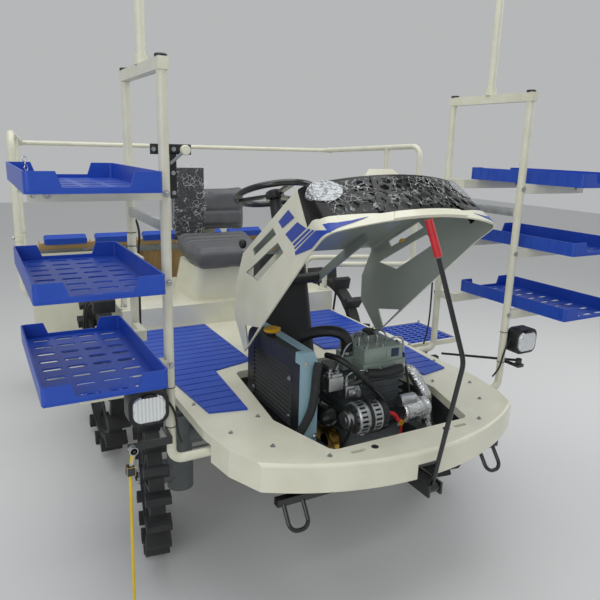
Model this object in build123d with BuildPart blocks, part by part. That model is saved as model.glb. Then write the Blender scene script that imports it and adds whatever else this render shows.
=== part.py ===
from build123d import *
import os
from math import cos, pi, radians, sin

os.makedirs("parts", exist_ok=True)

# Riding rice transplanter for six rows, in millimetres.
# It faces -Y, +Z is up, the floor is Z = 0 and X = 0 is the middle of the machine.
# The driver's right hand is at -X. SIDES pairs that side's name with the sign of its X.
SIDES = (("right", -1), ("left", 1))

# Clearances
gap = 0.3             # between faces of neighbouring bodies that only touch
run_gap = 0.05        # radial, between a shaft and the bore that turns on it
free_gap = 6.0        # between pieces that pass each other

# Wheels and axles
front_axle_y = -705.0
wheelbase = 1015.0
rear_axle_y = front_axle_y + wheelbase
wheel_x = 725.0       # middle of each tyre, from the middle of the machine
front_wheel_d = 650.0
front_tyre_w = 95.0
front_lugs = 18
rear_wheel_d = 920.0
rear_tyre_w = 110.0
rear_lugs = 16
spoke_d = 14.0
front_shaft_d = 36.0
rear_shaft_d = 44.0
kingpin_x = 600.0
kingpin_d = 50.0
steer_arm = 120.0     # from the kingpin back to the tie rod
parked_steer = -9.0   # degrees about +Z: the front wheels stand turned to the driver's right
tie_rod_d = 18.0

# Frame
rail_x = 225.0
rail_w = 50.0
rail_h = 70.0
rail_z = 530.0        # underside of the two frame rails
rail_front_y = -1400.0
rail_rear_y = 430.0

# Deck
deck_top = 700.0
deck_t = 34.0
skirt_h = 100.0
skirt_wall = 16.0
deck_half_w = 640.0
deck_front_y = -1580.0
deck_rear_y = 110.0
bumper_y = -1172.0    # the deep skirt reaches back to here
bay_front_y = -1440.0
bay_rear_y = -640.0
bay_front_half = 300.0
bay_half = 380.0
platform_top = 820.0  # raised rear platform under the seat
platform_rear_y = 830.0

# Hood: it turns about a pin in front of the steering column, and stands open by hood_open degrees
hinge_y = -508.0
hinge_z = 1067.0
hood_open = 40.0
hood_bottom_z = 716.0
hood_top_z = 1072.0
hood_wall = 7.0
hood_front_y = -1541.0

# Steering wheel and column
wheel_hub_y = -360.0
wheel_hub_z = 1456.0
steering_wheel_d = 400.0
steering_rim_d = 30.0
column_lean = 21.0    # degrees from upright, top towards the driver

# Seedling racks
post_x = 765.0
post_d = 32.0
post_front_y = -1155.0
post_rear_y = -702.0
post_foot_z = 634.0
rack_top_z = 1920.0
brace_z = 1430.0      # bar between the two posts of a rack
pole_top_z = 2400.0
tray_inner_x = 837.0
tray_outer_x = 1175.0
tray_front_y = -1397.0
tray_rear_y = -777.0
tray_tops = (1606.0, 1331.0, 1056.0)
tray_h = 55.0
tray_wall = 5.0
arm_h = 40.0

# Planting section
row_pitch = 300.0
rows = 6
link_y = 480.0        # front pivots of the lift links
link_len_y = 500.0
link_drop = 50.0      # the links fall by this much to their rear pivots
lower_link_z = 450.0
upper_link_z = 600.0
link_x = 172.0
link_pin_d = 20.0
cylinder_y = 395.0    # lower pin of the lift cylinder
cylinder_z = 300.0
eye_along = 240.0     # the cylinder's rod takes hold this far along the lower links
rotor_y = 1465.0
rotor_z = 250.0
rotor_tip_r = 215.0
table_low_y = 1345.0
table_low_z = 452.0
table_top_y = 1075.0
table_top_z = 1040.0
lane_rib_h = 26.0
table_t = 12.0
float_bottom_z = 60.0
float_h = 46.0
float_half = 80.0


def block(x, y, z):
    """Add a box to the part being built, from its low and high values along each axis."""
    with Locations(((x[0] + x[1]) / 2, (y[0] + y[1]) / 2, (z[0] + z[1]) / 2)):
        Box(x[1] - x[0], y[1] - y[0], z[1] - z[0])


def cut_block(x, y, z):
    """Cut a box out of the part being built."""
    with Locations(((x[0] + x[1]) / 2, (y[0] + y[1]) / 2, (z[0] + z[1]) / 2)):
        Box(x[1] - x[0], y[1] - y[0], z[1] - z[0], mode=Mode.SUBTRACT)


def rod(points, diameter, bend=0.0):
    """Add a round bar or tube along straight runs, joined by arcs of radius bend."""
    with BuildLine() as path:
        if len(points) == 2:
            Line(*points)
        else:
            FilletPolyline(*points, radius=bend)
    with BuildSketch(Plane(origin=path.line @ 0, z_dir=path.line % 0)) as section:
        Circle(diameter / 2)
    sweep(sections=section.sketch, path=path.line)


def drum(centre, axis, diameter, length, mode=Mode.ADD):
    """Add or cut a cylinder that starts at centre and runs along axis."""
    with BuildSketch(Plane(origin=centre, z_dir=axis)) as disc:
        Circle(diameter / 2)
    extrude(disc.sketch, amount=length, mode=mode)


def save(name, builder, turn=None):
    """Label a finished piece, turn it into its place if need be, and write it as its own file."""
    piece = builder.part if turn is None else turn * builder.part
    piece.label = name
    export_step(piece, "parts/" + name + ".step")


# Main frame: two rails, cross members and the hitch bracket for the lift links
hitch_x = 150.0
with BuildPart() as chassis_frame:
    for side in (-1, 1):
        x_mid = side * rail_x
        rail_span = (x_mid - rail_w / 2, x_mid + rail_w / 2)
        block(rail_span, (rail_front_y, rail_rear_y), (rail_z, rail_z + rail_h))
    for cross_y in (rail_front_y + 30, -560.0, rail_rear_y - 30):
        block((-rail_x, rail_x), (cross_y - 25, cross_y + 25), (rail_z, rail_z + rail_h))
    for side in (-1, 1):
        plate = (side * hitch_x - 6, side * hitch_x + 6)
        block(plate, (rail_rear_y - 60, link_y + 30), (lower_link_z - 36, upper_link_z + 36))
        web = sorted((side * hitch_x, side * (rail_x - 10)))
        block(web, (rail_rear_y - 60, rail_rear_y), (rail_z, rail_z + rail_h))
        drum((side * hitch_x, link_y, lower_link_z), (side, 0, 0), link_pin_d, link_x + 14 - hitch_x)
        ear = sorted((side * 34, side * 44))
        block(ear, (cylinder_y - 24, cylinder_y + 24), (cylinder_z - 24, rail_z + 2))
    drum((-hitch_x, link_y, upper_link_z), (1, 0, 0), link_pin_d, 2 * hitch_x)
    drum((-40, cylinder_y, cylinder_z), (1, 0, 0), link_pin_d, 80)
    for side in (-1, 1):
        for stay_y in (-1340.0, -1000.0, -180.0, 70.0):
            bar = sorted((side * (rail_x + 10), side * (deck_half_w - 100)))
            block(bar, (stay_y - 15, stay_y + 15), (rail_z + rail_h - 20, rail_z + rail_h))
            foot = sorted((side * (deck_half_w - 140), side * (deck_half_w - 100)))
            block(foot, (stay_y - 15, stay_y + 15), (rail_z + rail_h - 20, deck_top - deck_t))
save("chassis_frame", chassis_frame)

# Gear case with the front axle beam and its two kingpin housings
axle_z = front_wheel_d / 2
beam_z = 485.0
beam_d = 90.0
housing_low_z = 402.0
with BuildPart() as drive_case:
    drum((-kingpin_x, front_axle_y, beam_z), (1, 0, 0), beam_d, 2 * kingpin_x)
    for side in (-1, 1):
        drum((side * kingpin_x, front_axle_y, housing_low_z), (0, 0, 1), 104, 590 - housing_low_z)
        drum((side * kingpin_x, front_axle_y, 590), (0, 0, 1), 60, 20)
        housing_low = (side * kingpin_x, front_axle_y, housing_low_z)
        drum(housing_low, (0, 0, 1), kingpin_d + 2 * run_gap, 110, Mode.SUBTRACT)
    case_top = rail_z + 40
    saddle = (front_axle_y - 60, front_axle_y + 60)
    block((-rail_x + rail_w / 2, rail_x - rail_w / 2), saddle, (beam_z - 20, case_top))
    with BuildSketch(Plane.XZ.offset(-front_axle_y)):
        with Locations((0, 445)):
            RectangleRounded(300, 150, 40)
    extrude(amount=-660)
    with BuildSketch(Plane.XZ.offset(420)):
        with Locations((0, 450)):
            RectangleRounded(240, 220, 60)
    extrude(amount=-540)
save("drive_case", drive_case)

# Rear axle: a cross tube, two final-drive cases and the saddles under the rails
rear_axle_z = rear_wheel_d / 2
final_drive_x = 600.0
with BuildPart() as rear_axle:
    drum((-final_drive_x, rear_axle_y, rear_axle_z), (1, 0, 0), 110, 2 * final_drive_x)
    for side in (-1, 1):
        with BuildSketch(Plane.YZ.offset(side * final_drive_x)):
            with Locations((rear_axle_y, rear_axle_z)):
                Circle(95)
        extrude(amount=45, both=True)
        drive_mid = (side * final_drive_x, rear_axle_y, rear_axle_z)
        drum(drive_mid, (side, 0, 0), rear_shaft_d, wheel_x + 48 - final_drive_x)
        leg_span = (side * rail_x - 40, side * rail_x + 40)
        block(leg_span, (rear_axle_y - 70, rear_axle_y + 70), (rear_axle_z + 20, rail_z))
save("rear_axle", rear_axle)


# Deck: the moulded front tub with its deep bumper skirt and the engine bay
def deck_outline(inset):
    """The deck seen from above, drawn inset from its real edge."""
    half = deck_half_w - inset
    with BuildLine() as outline:
        rear = deck_rear_y - inset
        right = Polyline((0, rear), (half, rear), (half, -1120), (half - 28, -1290))
        corner = Line(right @ 1, (555 - inset, -1420 + inset * 0.6))
        ThreePointArc(corner @ 1, (300 - inset * 0.5, -1536 + inset), (0, deck_front_y + inset))
        mirror(about=Plane.YZ)
    make_face(outline.edges())


with BuildPart() as front_deck:
    with BuildSketch(Plane.XY.offset(deck_top - deck_t)):
        deck_outline(0)
    extrude(amount=deck_t)
    fillet(front_deck.faces().sort_by(Axis.Z)[-1].edges().group_by(Axis.Y)[0], 14)
    # Deep skirt of the bumper, hollow below the deck
    with BuildSketch(Plane.XY.offset(deck_top - skirt_h)):
        deck_outline(0)
        with Locations((0, (bumper_y + deck_rear_y) / 2 + 500)):
            Rectangle(2000, deck_rear_y - bumper_y + 1000, mode=Mode.SUBTRACT)
        with BuildSketch(mode=Mode.PRIVATE) as skirt_hollow:
            deck_outline(skirt_wall)
        add(skirt_hollow.sketch, mode=Mode.SUBTRACT)
    extrude(amount=skirt_h - deck_t)
    # Engine bay
    with BuildSketch(Plane.XY.offset(deck_top - deck_t)):
        with BuildLine():
            Polyline(
                (-bay_front_half, bay_front_y),
                (bay_front_half, bay_front_y),
                (bay_half, -1150),
                (bay_half - 60, bay_rear_y),
                (-bay_half + 60, bay_rear_y),
                (-bay_half, -1150),
                close=True,
            )
        bay = make_face()
        fillet(bay.vertices(), 34)
    extrude(amount=deck_t, mode=Mode.SUBTRACT)
    # Notch for the centre marker and slots in the front ledge
    notch_z = (deck_top - skirt_h - 5, deck_top - deck_t - 12)
    cut_block((-46, 46), (deck_front_y - 5, deck_front_y + 26), notch_z)
    with BuildSketch(Plane.XY.offset(deck_top)):
        with Locations((-224, -1481), (224, -1481)):
            SlotOverall(60, 16)
    extrude(amount=-deck_t, mode=Mode.SUBTRACT)
save("front_deck", front_deck)

# Raised rear platform with its riser, and the fenders beside the rear wheels
with BuildPart() as rear_deck:
    width = (-deck_half_w, deck_half_w)
    block(width, (deck_rear_y + gap, platform_rear_y), (platform_top - 30, platform_top))
    block(width, (deck_rear_y + gap, deck_rear_y + 24), (deck_top - deck_t, platform_top - 30))
    for side in (-1, 1):
        leg = (side * rail_x - 20, side * rail_x + 20)
        block(leg, (rail_rear_y - 60, rail_rear_y), (rail_z + rail_h, platform_top - 30))
        fender = sorted((side * (deck_half_w - 14), side * deck_half_w))
        block(fender, (deck_rear_y + 24, platform_rear_y), (platform_top - 120, platform_top - 30))
    fillet(rear_deck.faces().sort_by(Axis.Z)[-1].edges().filter_by(Axis.Y), 12)
save("rear_deck", rear_deck)

# Blue grooved mats on the floor and grids on the boarding steps
mat_t = 8.0
groove = 6.0
step_in_x = deck_half_w + 14
step_out_x = 980.0
step_front_y = -660.0
step_rear_y = -320.0
step_t = 26.0
with BuildPart() as side_steps:
    for side in (-1, 1):
        span = sorted((side * (deck_half_w + 1), side * step_out_x))
        block(span, (step_front_y, step_rear_y), (deck_top - step_t, deck_top))
        hollow = sorted((side * (step_in_x + 10), side * (step_out_x - 14)))
        cut_block(hollow, (step_front_y + 14, step_rear_y - 14), (deck_top - step_t - 1, deck_top + 1))
        for bar_y in (-560.0, -490.0, -420.0):
            block(hollow, (bar_y - 6, bar_y + 6), (deck_top - step_t, deck_top - step_t + 8))
save("side_steps", side_steps)

with BuildPart() as step_mats:
    for side in (-1, 1):
        # Floor mat beside the hood, wider behind it
        with BuildSketch(Plane.XY.offset(deck_top)):
            with BuildLine():
                Polyline(
                    (side * 430, -1030),
                    (side * 575, -1000),
                    (side * 610, -600),
                    (side * 610, 90),
                    (side * 200, 90),
                    (side * 200, -540),
                    (side * 400, -600),
                    close=True,
                )
            make_face()
        extrude(amount=mat_t)
        for groove_y in range(-960, 80, 60):
            groove_x = sorted((side * 190, side * 620))
            cut_block(groove_x, (groove_y, groove_y + groove), (deck_top + mat_t - 3, deck_top + mat_t + 1))
save("step_mats", step_mats)

# Grid panels that lie in the step frames
with BuildPart() as step_grids:
    grid_z = deck_top - step_t + 8
    for side in (-1, 1):
        x_low, x_high = sorted((side * (step_in_x + 11), side * (step_out_x - 15)))
        block((x_low, x_high), (step_front_y + 15, step_rear_y - 15), (grid_z, grid_z + 14))
        with BuildSketch(Plane.XY.offset(grid_z)):
            with Locations(((x_low + x_high) / 2, (step_front_y + step_rear_y) / 2)):
                with GridLocations(46, 32, 6, 9):
                    SlotOverall(36, 18)
        extrude(amount=14, mode=Mode.SUBTRACT)
save("step_grids", step_grids)

# Engine block, cover, alternator and belt
engine_x = 60.0
engine_y = -1080.0
with BuildPart() as engine_block:
    block((engine_x - 150, engine_x + 134), (engine_y - 130, engine_y + 150), (470, 640))
    block((engine_x - 135, engine_x + 112), (engine_y - 108, engine_y + 128), (640, 820))
    fillet(engine_block.edges().filter_by(Axis.Z), 22)
    for rib_z in (670, 700, 730, 760, 790):
        block((engine_x - 141, engine_x + 118), (engine_y - 114, engine_y + 134), (rib_z, rib_z + 8))
save("engine_block", engine_block)

with BuildPart() as cylinder_head:
    block((engine_x - 70, engine_x + 135), (engine_y - 105, engine_y + 110), (820, 868))
    block((engine_x - 60, engine_x + 125), (engine_y - 95, engine_y + 100), (868, 926))
    fillet(cylinder_head.edges().filter_by(Axis.Z), 12)
    fillet(cylinder_head.faces().sort_by(Axis.Z)[-1].edges(), 8)
    drum((engine_x + 30, engine_y + 20, 926), (0, 0, 1), 44, 22)
    block((engine_x - 112, engine_x - 60), (engine_y - 20, engine_y + 30), (824, 880))
save("cylinder_head", cylinder_head)

alternator_y = engine_y - 185
alternator_z = 700.0
with BuildPart() as alternator:
    drum((-110, alternator_y, alternator_z), (1, 0, 0), 124, 110)
    fillet(alternator.edges().filter_by(GeomType.CIRCLE), 12)
    with BuildSketch(Plane.YZ.offset(-111)):
        with Locations((alternator_y, alternator_z)):
            with PolarLocations(44, 12):
                SlotOverall(24, 9)
    extrude(amount=112, mode=Mode.SUBTRACT)
    drum((-146, alternator_y, alternator_z), (1, 0, 0), 30, 37)
    drum((-144, alternator_y, alternator_z), (1, 0, 0), 66, 24)
    block((-85, -30), (alternator_y + 30, engine_y - 130 - gap), (alternator_z - 75, alternator_z - 40))
save("alternator", alternator)

belt_x = -134.0
with BuildPart() as belt_drive:
    # Crank pulley, then the belt round both pulleys as one flat loop
    crank_y = engine_y - 60
    crank_z = 560.0
    drum((belt_x - 14, crank_y, crank_z), (1, 0, 0), 130, 28)
    drum((belt_x + 14, crank_y, crank_z), (1, 0, 0), 50, engine_x - 150 - belt_x - 14)
save("belt_drive", belt_drive)

# Radiator box beside the engine, with its louvred outer face, and the bracket frame around it
rad_out_x = -300.0
rad_in_x = -236.0
rad_front_y = -1222.0
rad_rear_y = -736.0
rad_low_z = 604.0
rad_high_z = 958.0
cap_len = 60.0        # folded top corner of the bracket frame
cap_h = 40.0
neck_at = (rad_in_x - 32, -900, rad_high_z - 12)
neck_d = 54.0
with BuildPart() as radiator:
    block((rad_out_x, rad_in_x), (rad_front_y + 26, rad_rear_y), (rad_low_z, rad_high_z - 10))
    fillet(radiator.edges().filter_by(Axis.X).group_by(Axis.Z)[-1], 60)
    with Locations((rad_out_x, (rad_front_y + rad_rear_y) / 2 + 13, 760)):
        Box(12, 340, 236, mode=Mode.SUBTRACT)
    for louvre_z in range(650, 880, 18):
        with BuildSketch(Plane.XZ.offset(-rad_rear_y + 60)):
            with BuildLine():
                Polyline(
                    (rad_out_x + 7, louvre_z),
                    (rad_out_x + 7, louvre_z + 12),
                    (rad_out_x - 1, louvre_z + 2),
                    (rad_out_x - 1, louvre_z),
                    close=True,
                )
            make_face()
        extrude(amount=340)
    cap_zone = (rad_front_y + 20, rad_front_y + cap_len + gap)
    cut_block((rad_out_x - 1, rad_in_x + 1), cap_zone, (rad_high_z - cap_h - gap, rad_high_z))
    drum(neck_at, (0, 0, 1), neck_d, 20)
save("radiator", radiator)

with BuildPart() as radiator_frame:
    block((rad_out_x, rad_in_x), (rad_front_y, rad_front_y + 25), (rad_low_z, rad_high_z))
    block((rad_in_x - 30, rad_in_x), (rad_front_y, rad_rear_y), (rad_high_z - 9, rad_high_z))
    block((rad_out_x, rad_in_x), (rad_front_y, rad_rear_y), (rail_z + rail_h, rad_low_z))
    block((rad_out_x, rad_in_x), (rad_front_y + 24, rad_front_y + cap_len), (rad_high_z - cap_h, rad_high_z))
    front_top = radiator_frame.edges().filter_by(Axis.X).group_by(Axis.Z)[-1].sort_by(Axis.Y)[0]
    chamfer(front_top, cap_h - 4)
    drum(neck_at, (0, 0, 1), neck_d + 2 * gap, 20, Mode.SUBTRACT)
save("radiator_frame", radiator_frame)

hose_d = 46.0
with BuildPart() as radiator_hose:
    hose_route = (
        (rad_in_x + gap, -940, 906),
        (-178, -940, 906),
        (-130, -980, 976),
        (-50, engine_y + 5, 976),
        (engine_x - 85, engine_y + 5, 976),
        (engine_x - 85, engine_y + 5, 880 + gap),
    )
    rod(hose_route, hose_d, 24)
save("radiator_hose", radiator_hose)

# Starter and muffler cylinder with the wrapped exhaust pipe
with BuildPart() as exhaust:
    drum((engine_x + 60, -1262, 682), (1, 0, 0), 86, 128)
    fillet(exhaust.edges().filter_by(GeomType.CIRCLE), 10)
    block((engine_x + 80, engine_x + 120), (-1240, engine_y - 130 - gap), (660, 700))
    pipe_route = (
        (engine_x + 150, engine_y - 20, 780),
        (engine_x + 196, -1140, 800),
        (engine_x + 236, -1200, 700),
        (engine_x + 250, -1216, 548),
    )
    rod(pipe_route, 48, 40)
save("exhaust", exhaust)

# Dash: the cowl round the steering column, with the ears that carry the hood
ear_x = 150.0
with BuildPart() as dash_column:
    with BuildSketch(Plane.XY.offset(deck_top + gap)):
        with Locations((0, -480)):
            RectangleRounded(300, 150, 40)
    with BuildSketch(Plane.XY.offset(1230)):
        with Locations((0, -415)):
            RectangleRounded(230, 130, 40)
    loft()
    lean = radians(column_lean)
    column_axis = (0, sin(lean), cos(lean))
    column_len = 290.0
    column_low = (0, wheel_hub_y - column_len * sin(lean), wheel_hub_z - column_len * cos(lean) - 14)
    drum(column_low, column_axis, 60, column_len - 20)
    drum((-ear_x - 12, hinge_y, hinge_z), (1, 0, 0), 50, 2 * ear_x + 24)
    drum((-ear_x - 40, hinge_y, hinge_z), (1, 0, 0), 18, 2 * ear_x + 80)
save("dash_column", dash_column)

# Steering wheel: rim, hub and three spokes, turning on the column
with BuildPart() as steering_wheel:
    hub_plane = Plane(origin=(0, wheel_hub_y, wheel_hub_z), x_dir=(1, 0, 0), z_dir=column_axis)
    rim_r = (steering_wheel_d - steering_rim_d) / 2
    with BuildSketch(Plane(origin=hub_plane.origin, x_dir=hub_plane.x_dir, z_dir=hub_plane.y_dir)):
        with Locations((rim_r, 0)):
            Circle(steering_rim_d / 2)
    revolve(axis=Axis(hub_plane.origin, hub_plane.z_dir))
    with BuildSketch(hub_plane.offset(-28)):
        Circle(44)
    extrude(amount=36)
    with BuildSketch(hub_plane.offset(-14)):
        with PolarLocations(rim_r / 2, 3, start_angle=-90):
            Rectangle(rim_r, 30)
        Circle(43, mode=Mode.SUBTRACT)
        Circle(rim_r, mode=Mode.INTERSECT)
    extrude(amount=14)
save("steering_wheel", steering_wheel)

# Seat: pedestal, cushion and back
seat_half = 245.0
seat_y = 325.0        # middle of the cushion
back_y = 520.0        # front face of the back
back_low_z = 1150.0
back_high_z = 1430.0
cushion_z = 1010.0
with BuildPart() as seat_base:
    with BuildSketch(Plane.XY.offset(platform_top)):
        with Locations((0, seat_y + 50)):
            RectangleRounded(460, 400, 50)
    with BuildSketch(Plane.XY.offset(cushion_z - gap)):
        with Locations((0, seat_y + 35)):
            RectangleRounded(400, 380, 50)
    loft()
    block((-60, 60), (back_y + 90, back_y + 106), (cushion_z - 120, cushion_z + 200))
    block((-60, 60), (seat_y + 200, back_y + 106), (cushion_z - 140, cushion_z - 110))
save("seat_base", seat_base)

with BuildPart() as seat:
    with BuildSketch(Plane.XY.offset(cushion_z)):
        with Locations((0, seat_y)):
            RectangleRounded(2 * seat_half - 10, 470, 80)
    extrude(amount=110)
    with BuildSketch(Plane.XZ.offset(-back_y)):
        with Locations((0, (back_low_z + back_high_z) / 2)):
            RectangleRounded(2 * seat_half, back_high_z - back_low_z, 60)
    extrude(amount=-88)
    fillet(seat.edges().filter_by(GeomType.LINE).filter_by(Axis.X).group_by(Axis.Z)[-1], 30)
save("seat", seat)

# Handrail: rear bar, two side tubes and their legs, bent in over the rear wheels to the platform
rail_bar_d = 26.0
rail_bar_y = 850.0
rail_tube_d = 32.0
leg_x = 1110.0
leg_bend_z = 985.0
leg_foot_x = deck_half_w - 24
with BuildPart() as handrail:
    rod(((-1000, rail_bar_y, 1656), (1000, rail_bar_y, 1656)), rail_bar_d)
    for side in (-1, 1):
        side_route = (
            (side * 1000, rail_bar_y, 1656),
            (side * leg_x, -60, 1700),
            (side * leg_x, -62, leg_bend_z),
            (side * leg_foot_x, 170, leg_bend_z - 10),
            (side * leg_foot_x, 170, platform_top + gap),
        )
        rod(side_route, rail_tube_d, 60)
        second_leg = (
            (side * 1076, 220, 1686),
            (side * 1076, 222, leg_bend_z),
            (side * leg_foot_x, 420, leg_bend_z - 10),
            (side * leg_foot_x, 420, platform_top + gap),
        )
        rod(second_leg, rail_tube_d, 60)
save("handrail", handrail)


# Seedling racks: two posts a side joined by a cross bar, with a pole above and an arm under each tray end
def rack(name, side):
    with BuildPart() as frame:
        for post_y in (post_front_y, post_rear_y):
            foot = (side * 560, post_y, post_foot_z)
            if post_y == post_rear_y:
                foot = (side * (deck_half_w + gap), post_y, deck_top - 17)
            knee = (side * post_x, post_y, foot[2])
            rod(((side * post_x, post_y, rack_top_z - 10), knee, foot), post_d, 40)
        bar_x = sorted((side * post_x - 16, side * post_x + 16))
        block(bar_x, (post_front_y - 20, post_rear_y + 20), (rack_top_z - 36, rack_top_z))
        brace_x = sorted((side * post_x - 9, side * post_x + 9))
        mid_y = (post_front_y + post_rear_y) / 2
        block(brace_x, (post_front_y, post_rear_y), (brace_z - 14, brace_z + 14))
        drum((side * post_x, mid_y, rack_top_z - 2), (0, 0, 1), post_d, pole_top_z - rack_top_z + 2)
        drum((side * post_x, mid_y, rack_top_z - 2), (0, 0, 1), 46, 30)
        for top in tray_tops:
            arm_top = top - tray_h - gap
            reach = side * (tray_outer_x - 25)
            for post_y, arm_y in ((post_front_y, post_front_y), (post_rear_y, tray_rear_y - 40)):
                start = side * (post_x + 10)
                arm_x = sorted((start, reach))
                block(arm_x, (arm_y - 13, arm_y + 13), (arm_top - arm_h, arm_top))
                if arm_y != post_y:
                    stub = sorted((side * (post_x - 12), side * (post_x + 12)))
                    block(stub, (arm_y - 13, post_y), (arm_top - arm_h, arm_top))
    save(name, frame)


# Trays: slotted floor, full side walls and end walls with tall corners round a low middle
def trays(name, side):
    with BuildPart() as tray_set:
        x_mid = side * (tray_inner_x + tray_outer_x) / 2
        y_mid = (tray_front_y + tray_rear_y) / 2
        wide = tray_outer_x - tray_inner_x
        long = tray_rear_y - tray_front_y
        for top in tray_tops:
            low = top - tray_h
            with BuildSketch(Plane.XY.offset(low)):
                with Locations((x_mid, y_mid)):
                    RectangleRounded(wide, long, 14)
            extrude(amount=tray_h)
            with BuildSketch(Plane.XY.offset(low + tray_wall)):
                with Locations((x_mid, y_mid)):
                    RectangleRounded(wide - 2 * tray_wall, long - 2 * tray_wall, 10)
            extrude(amount=tray_h, mode=Mode.SUBTRACT)
            with BuildSketch(Plane.XY.offset(low)):
                with Locations((x_mid, y_mid)):
                    with GridLocations(74, 76, 4, 8):
                        SlotOverall(58, 24)
            extrude(amount=tray_wall, mode=Mode.SUBTRACT)
            with BuildSketch(Plane.XZ.offset(-tray_rear_y - 1)):
                with BuildLine():
                    Polyline(
                        (x_mid - 82, low + 16),
                        (x_mid + 82, low + 16),
                        (x_mid + 96, top + 1),
                        (x_mid - 96, top + 1),
                        close=True,
                    )
                make_face()
            extrude(amount=long + 2, mode=Mode.SUBTRACT)
    save(name, tray_set)


for side_name, side in SIDES:
    rack("rack_" + side_name, side)
    trays("trays_" + side_name, side)

# Work lamp: rounded housing on a bracket from the front post, with a ribbed lens
lamp_x = 850.0
lamp_y = -1210.0
lamp_z = 860.0
with BuildPart() as work_lamps:
    for side in (-1, 1):
        with BuildSketch(Plane.XZ.offset(-lamp_y)):
            with Locations((side * lamp_x, lamp_z)):
                RectangleRounded(129, 113, 34)
        extrude(amount=-60)
        bracket = sorted((side * (post_x + post_d / 2), side * (lamp_x - 20)))
        block(bracket, (post_front_y - 6, post_front_y + 6), (lamp_z + 20, lamp_z + 46))
save("work_lamps", work_lamps)

with BuildPart() as lamp_lenses:
    for side in (-1, 1):
        with BuildSketch(Plane.XZ.offset(-lamp_y)):
            with Locations((side * lamp_x, lamp_z)):
                RectangleRounded(104, 90, 30)
        extrude(amount=12)
    fillet(lamp_lenses.faces().sort_by(Axis.Y)[0:2].edges(), 8)
save("lamp_lenses", lamp_lenses)

# Black fittings at the front: tie-down hooks, the centre marker's bracket and the side markers' brackets
hook_x = 436.0
hook_y = -1478.0
marker_pin_y = -1602.0
marker_pin_z = 570.0
marker_pin_d = 12.0
side_pin_d = 10.0
right_pin = (-912.0, -1240.0, 745.0)
left_pin = (800.0, -1225.0, 770.0)
with BuildPart() as front_fittings:
    for side in (-1, 1):
        hook_route = (
            (side * hook_x - 36, hook_y + 62, rail_z + 12),
            (side * hook_x - 36, hook_y, 462),
            (side * hook_x + 36, hook_y, 462),
            (side * hook_x + 36, hook_y + 62, rail_z + 12),
        )
        rod(hook_route, 15, 30)
        ear = sorted((side * 22, side * 30))
        block(ear, (marker_pin_y - 20, hook_y + 60), (marker_pin_z - 22, marker_pin_z + 22))
    block((-hook_x - 60, hook_x + 60), (hook_y + 50, rail_front_y - gap), (rail_z, rail_z + 26))
    block((-30, 30), (hook_y + 30, hook_y + 60), (marker_pin_z - 36, marker_pin_z + 22))
    drum((-30, marker_pin_y, marker_pin_z), (1, 0, 0), marker_pin_d, 60)
    # Right bracket: a plate in front of the post with a pin along the machine
    post_face = post_x + post_d / 2 + gap
    pin_x, pin_y, pin_z = right_pin
    block((pin_x - 14, -post_face), (pin_y + 14, pin_y + 20), (pin_z - 13, pin_z + 13))
    block((-post_face - 18, -post_face), (pin_y + 14, post_front_y + 6), (pin_z - 13, pin_z + 13))
    drum((pin_x, pin_y + 16, pin_z), (0, -1, 0), side_pin_d, 30)
    # Left bracket: a plate with an upright pin
    pin_x, pin_y, pin_z = left_pin
    block((post_face, pin_x + 16), (pin_y - 16, pin_y + 16), (pin_z - 16, pin_z - 2))
    block((post_face, post_face + 6), (pin_y, post_front_y + 6), (pin_z - 16, pin_z - 2))
    drum((pin_x, pin_y, pin_z - 8), (0, 0, 1), side_pin_d, 26)
save("front_fittings", front_fittings)

# Centre marker: a bent rod on a pin between the bracket's ears, clear of the closing hood, with a sleeve
marker_d = 16.0
sleeve_d = 25.0
marker_bend = (22, -1671, 1040)
marker_top = (-46, -1592, 1360)
sleeve_low = (-47, -1591, 1365)
sleeve_top = (-70, -1558, 1476)
with BuildPart() as centre_marker_rod:
    rod(((0, marker_pin_y, marker_pin_z), marker_bend, marker_top), marker_d, 120)
    drum((-20, marker_pin_y, marker_pin_z), (1, 0, 0), 34, 40)
    drum((-21, marker_pin_y, marker_pin_z), (1, 0, 0), marker_pin_d + 2 * run_gap, 42, Mode.SUBTRACT)
save("centre_marker_rod", centre_marker_rod)

with BuildPart() as centre_marker_sleeve:
    rod((sleeve_low, sleeve_top), sleeve_d)
save("centre_marker_sleeve", centre_marker_sleeve)

# Side markers: the right one hangs a thin tube from its arm, the left one is folded back along the machine
with BuildPart() as side_marker_right:
    px, py, pz = right_pin
    drum((px, py + 12, pz), (0, -1, 0), 26, 24)
    rod(((px, py, pz), (px - 8, py, pz - 60)), 14)
    block((px - 24, px + 2), (py - 14, py + 14), (pz - 82, pz - 52))
    rod(((px - 12, py, pz - 70), (px - 18, py, 182)), 10)
    drum((px, py + 14, pz), (0, -1, 0), side_pin_d + 2 * run_gap, 28, Mode.SUBTRACT)
save("side_marker_right", side_marker_right)

with BuildPart() as side_marker_left:
    px, py, pz = left_pin
    drum((px, py, pz), (0, 0, 1), 26, 20)
    rod(((px, py + 9, pz + 10), (px, -735, 657)), 12)
    drum((px, py, pz - 1), (0, 0, 1), side_pin_d + 2 * run_gap, 22, Mode.SUBTRACT)
save("side_marker_left", side_marker_left)

# Hood, drawn closed and then turned open about the hinge pin
hood_turn = Pos(0, hinge_y, hinge_z) * Rot(-hood_open, 0, 0) * Pos(0, -hinge_y, -hinge_z)
hood_pin_d = 18.0
hood_low_z = 744.0      # underside of the closed nose
hood_nose_z = 965.0     # its top edge over the grille; the top rises from there to the rear
headlamp_x = 286.0
headlamp_z = 923.0


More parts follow.
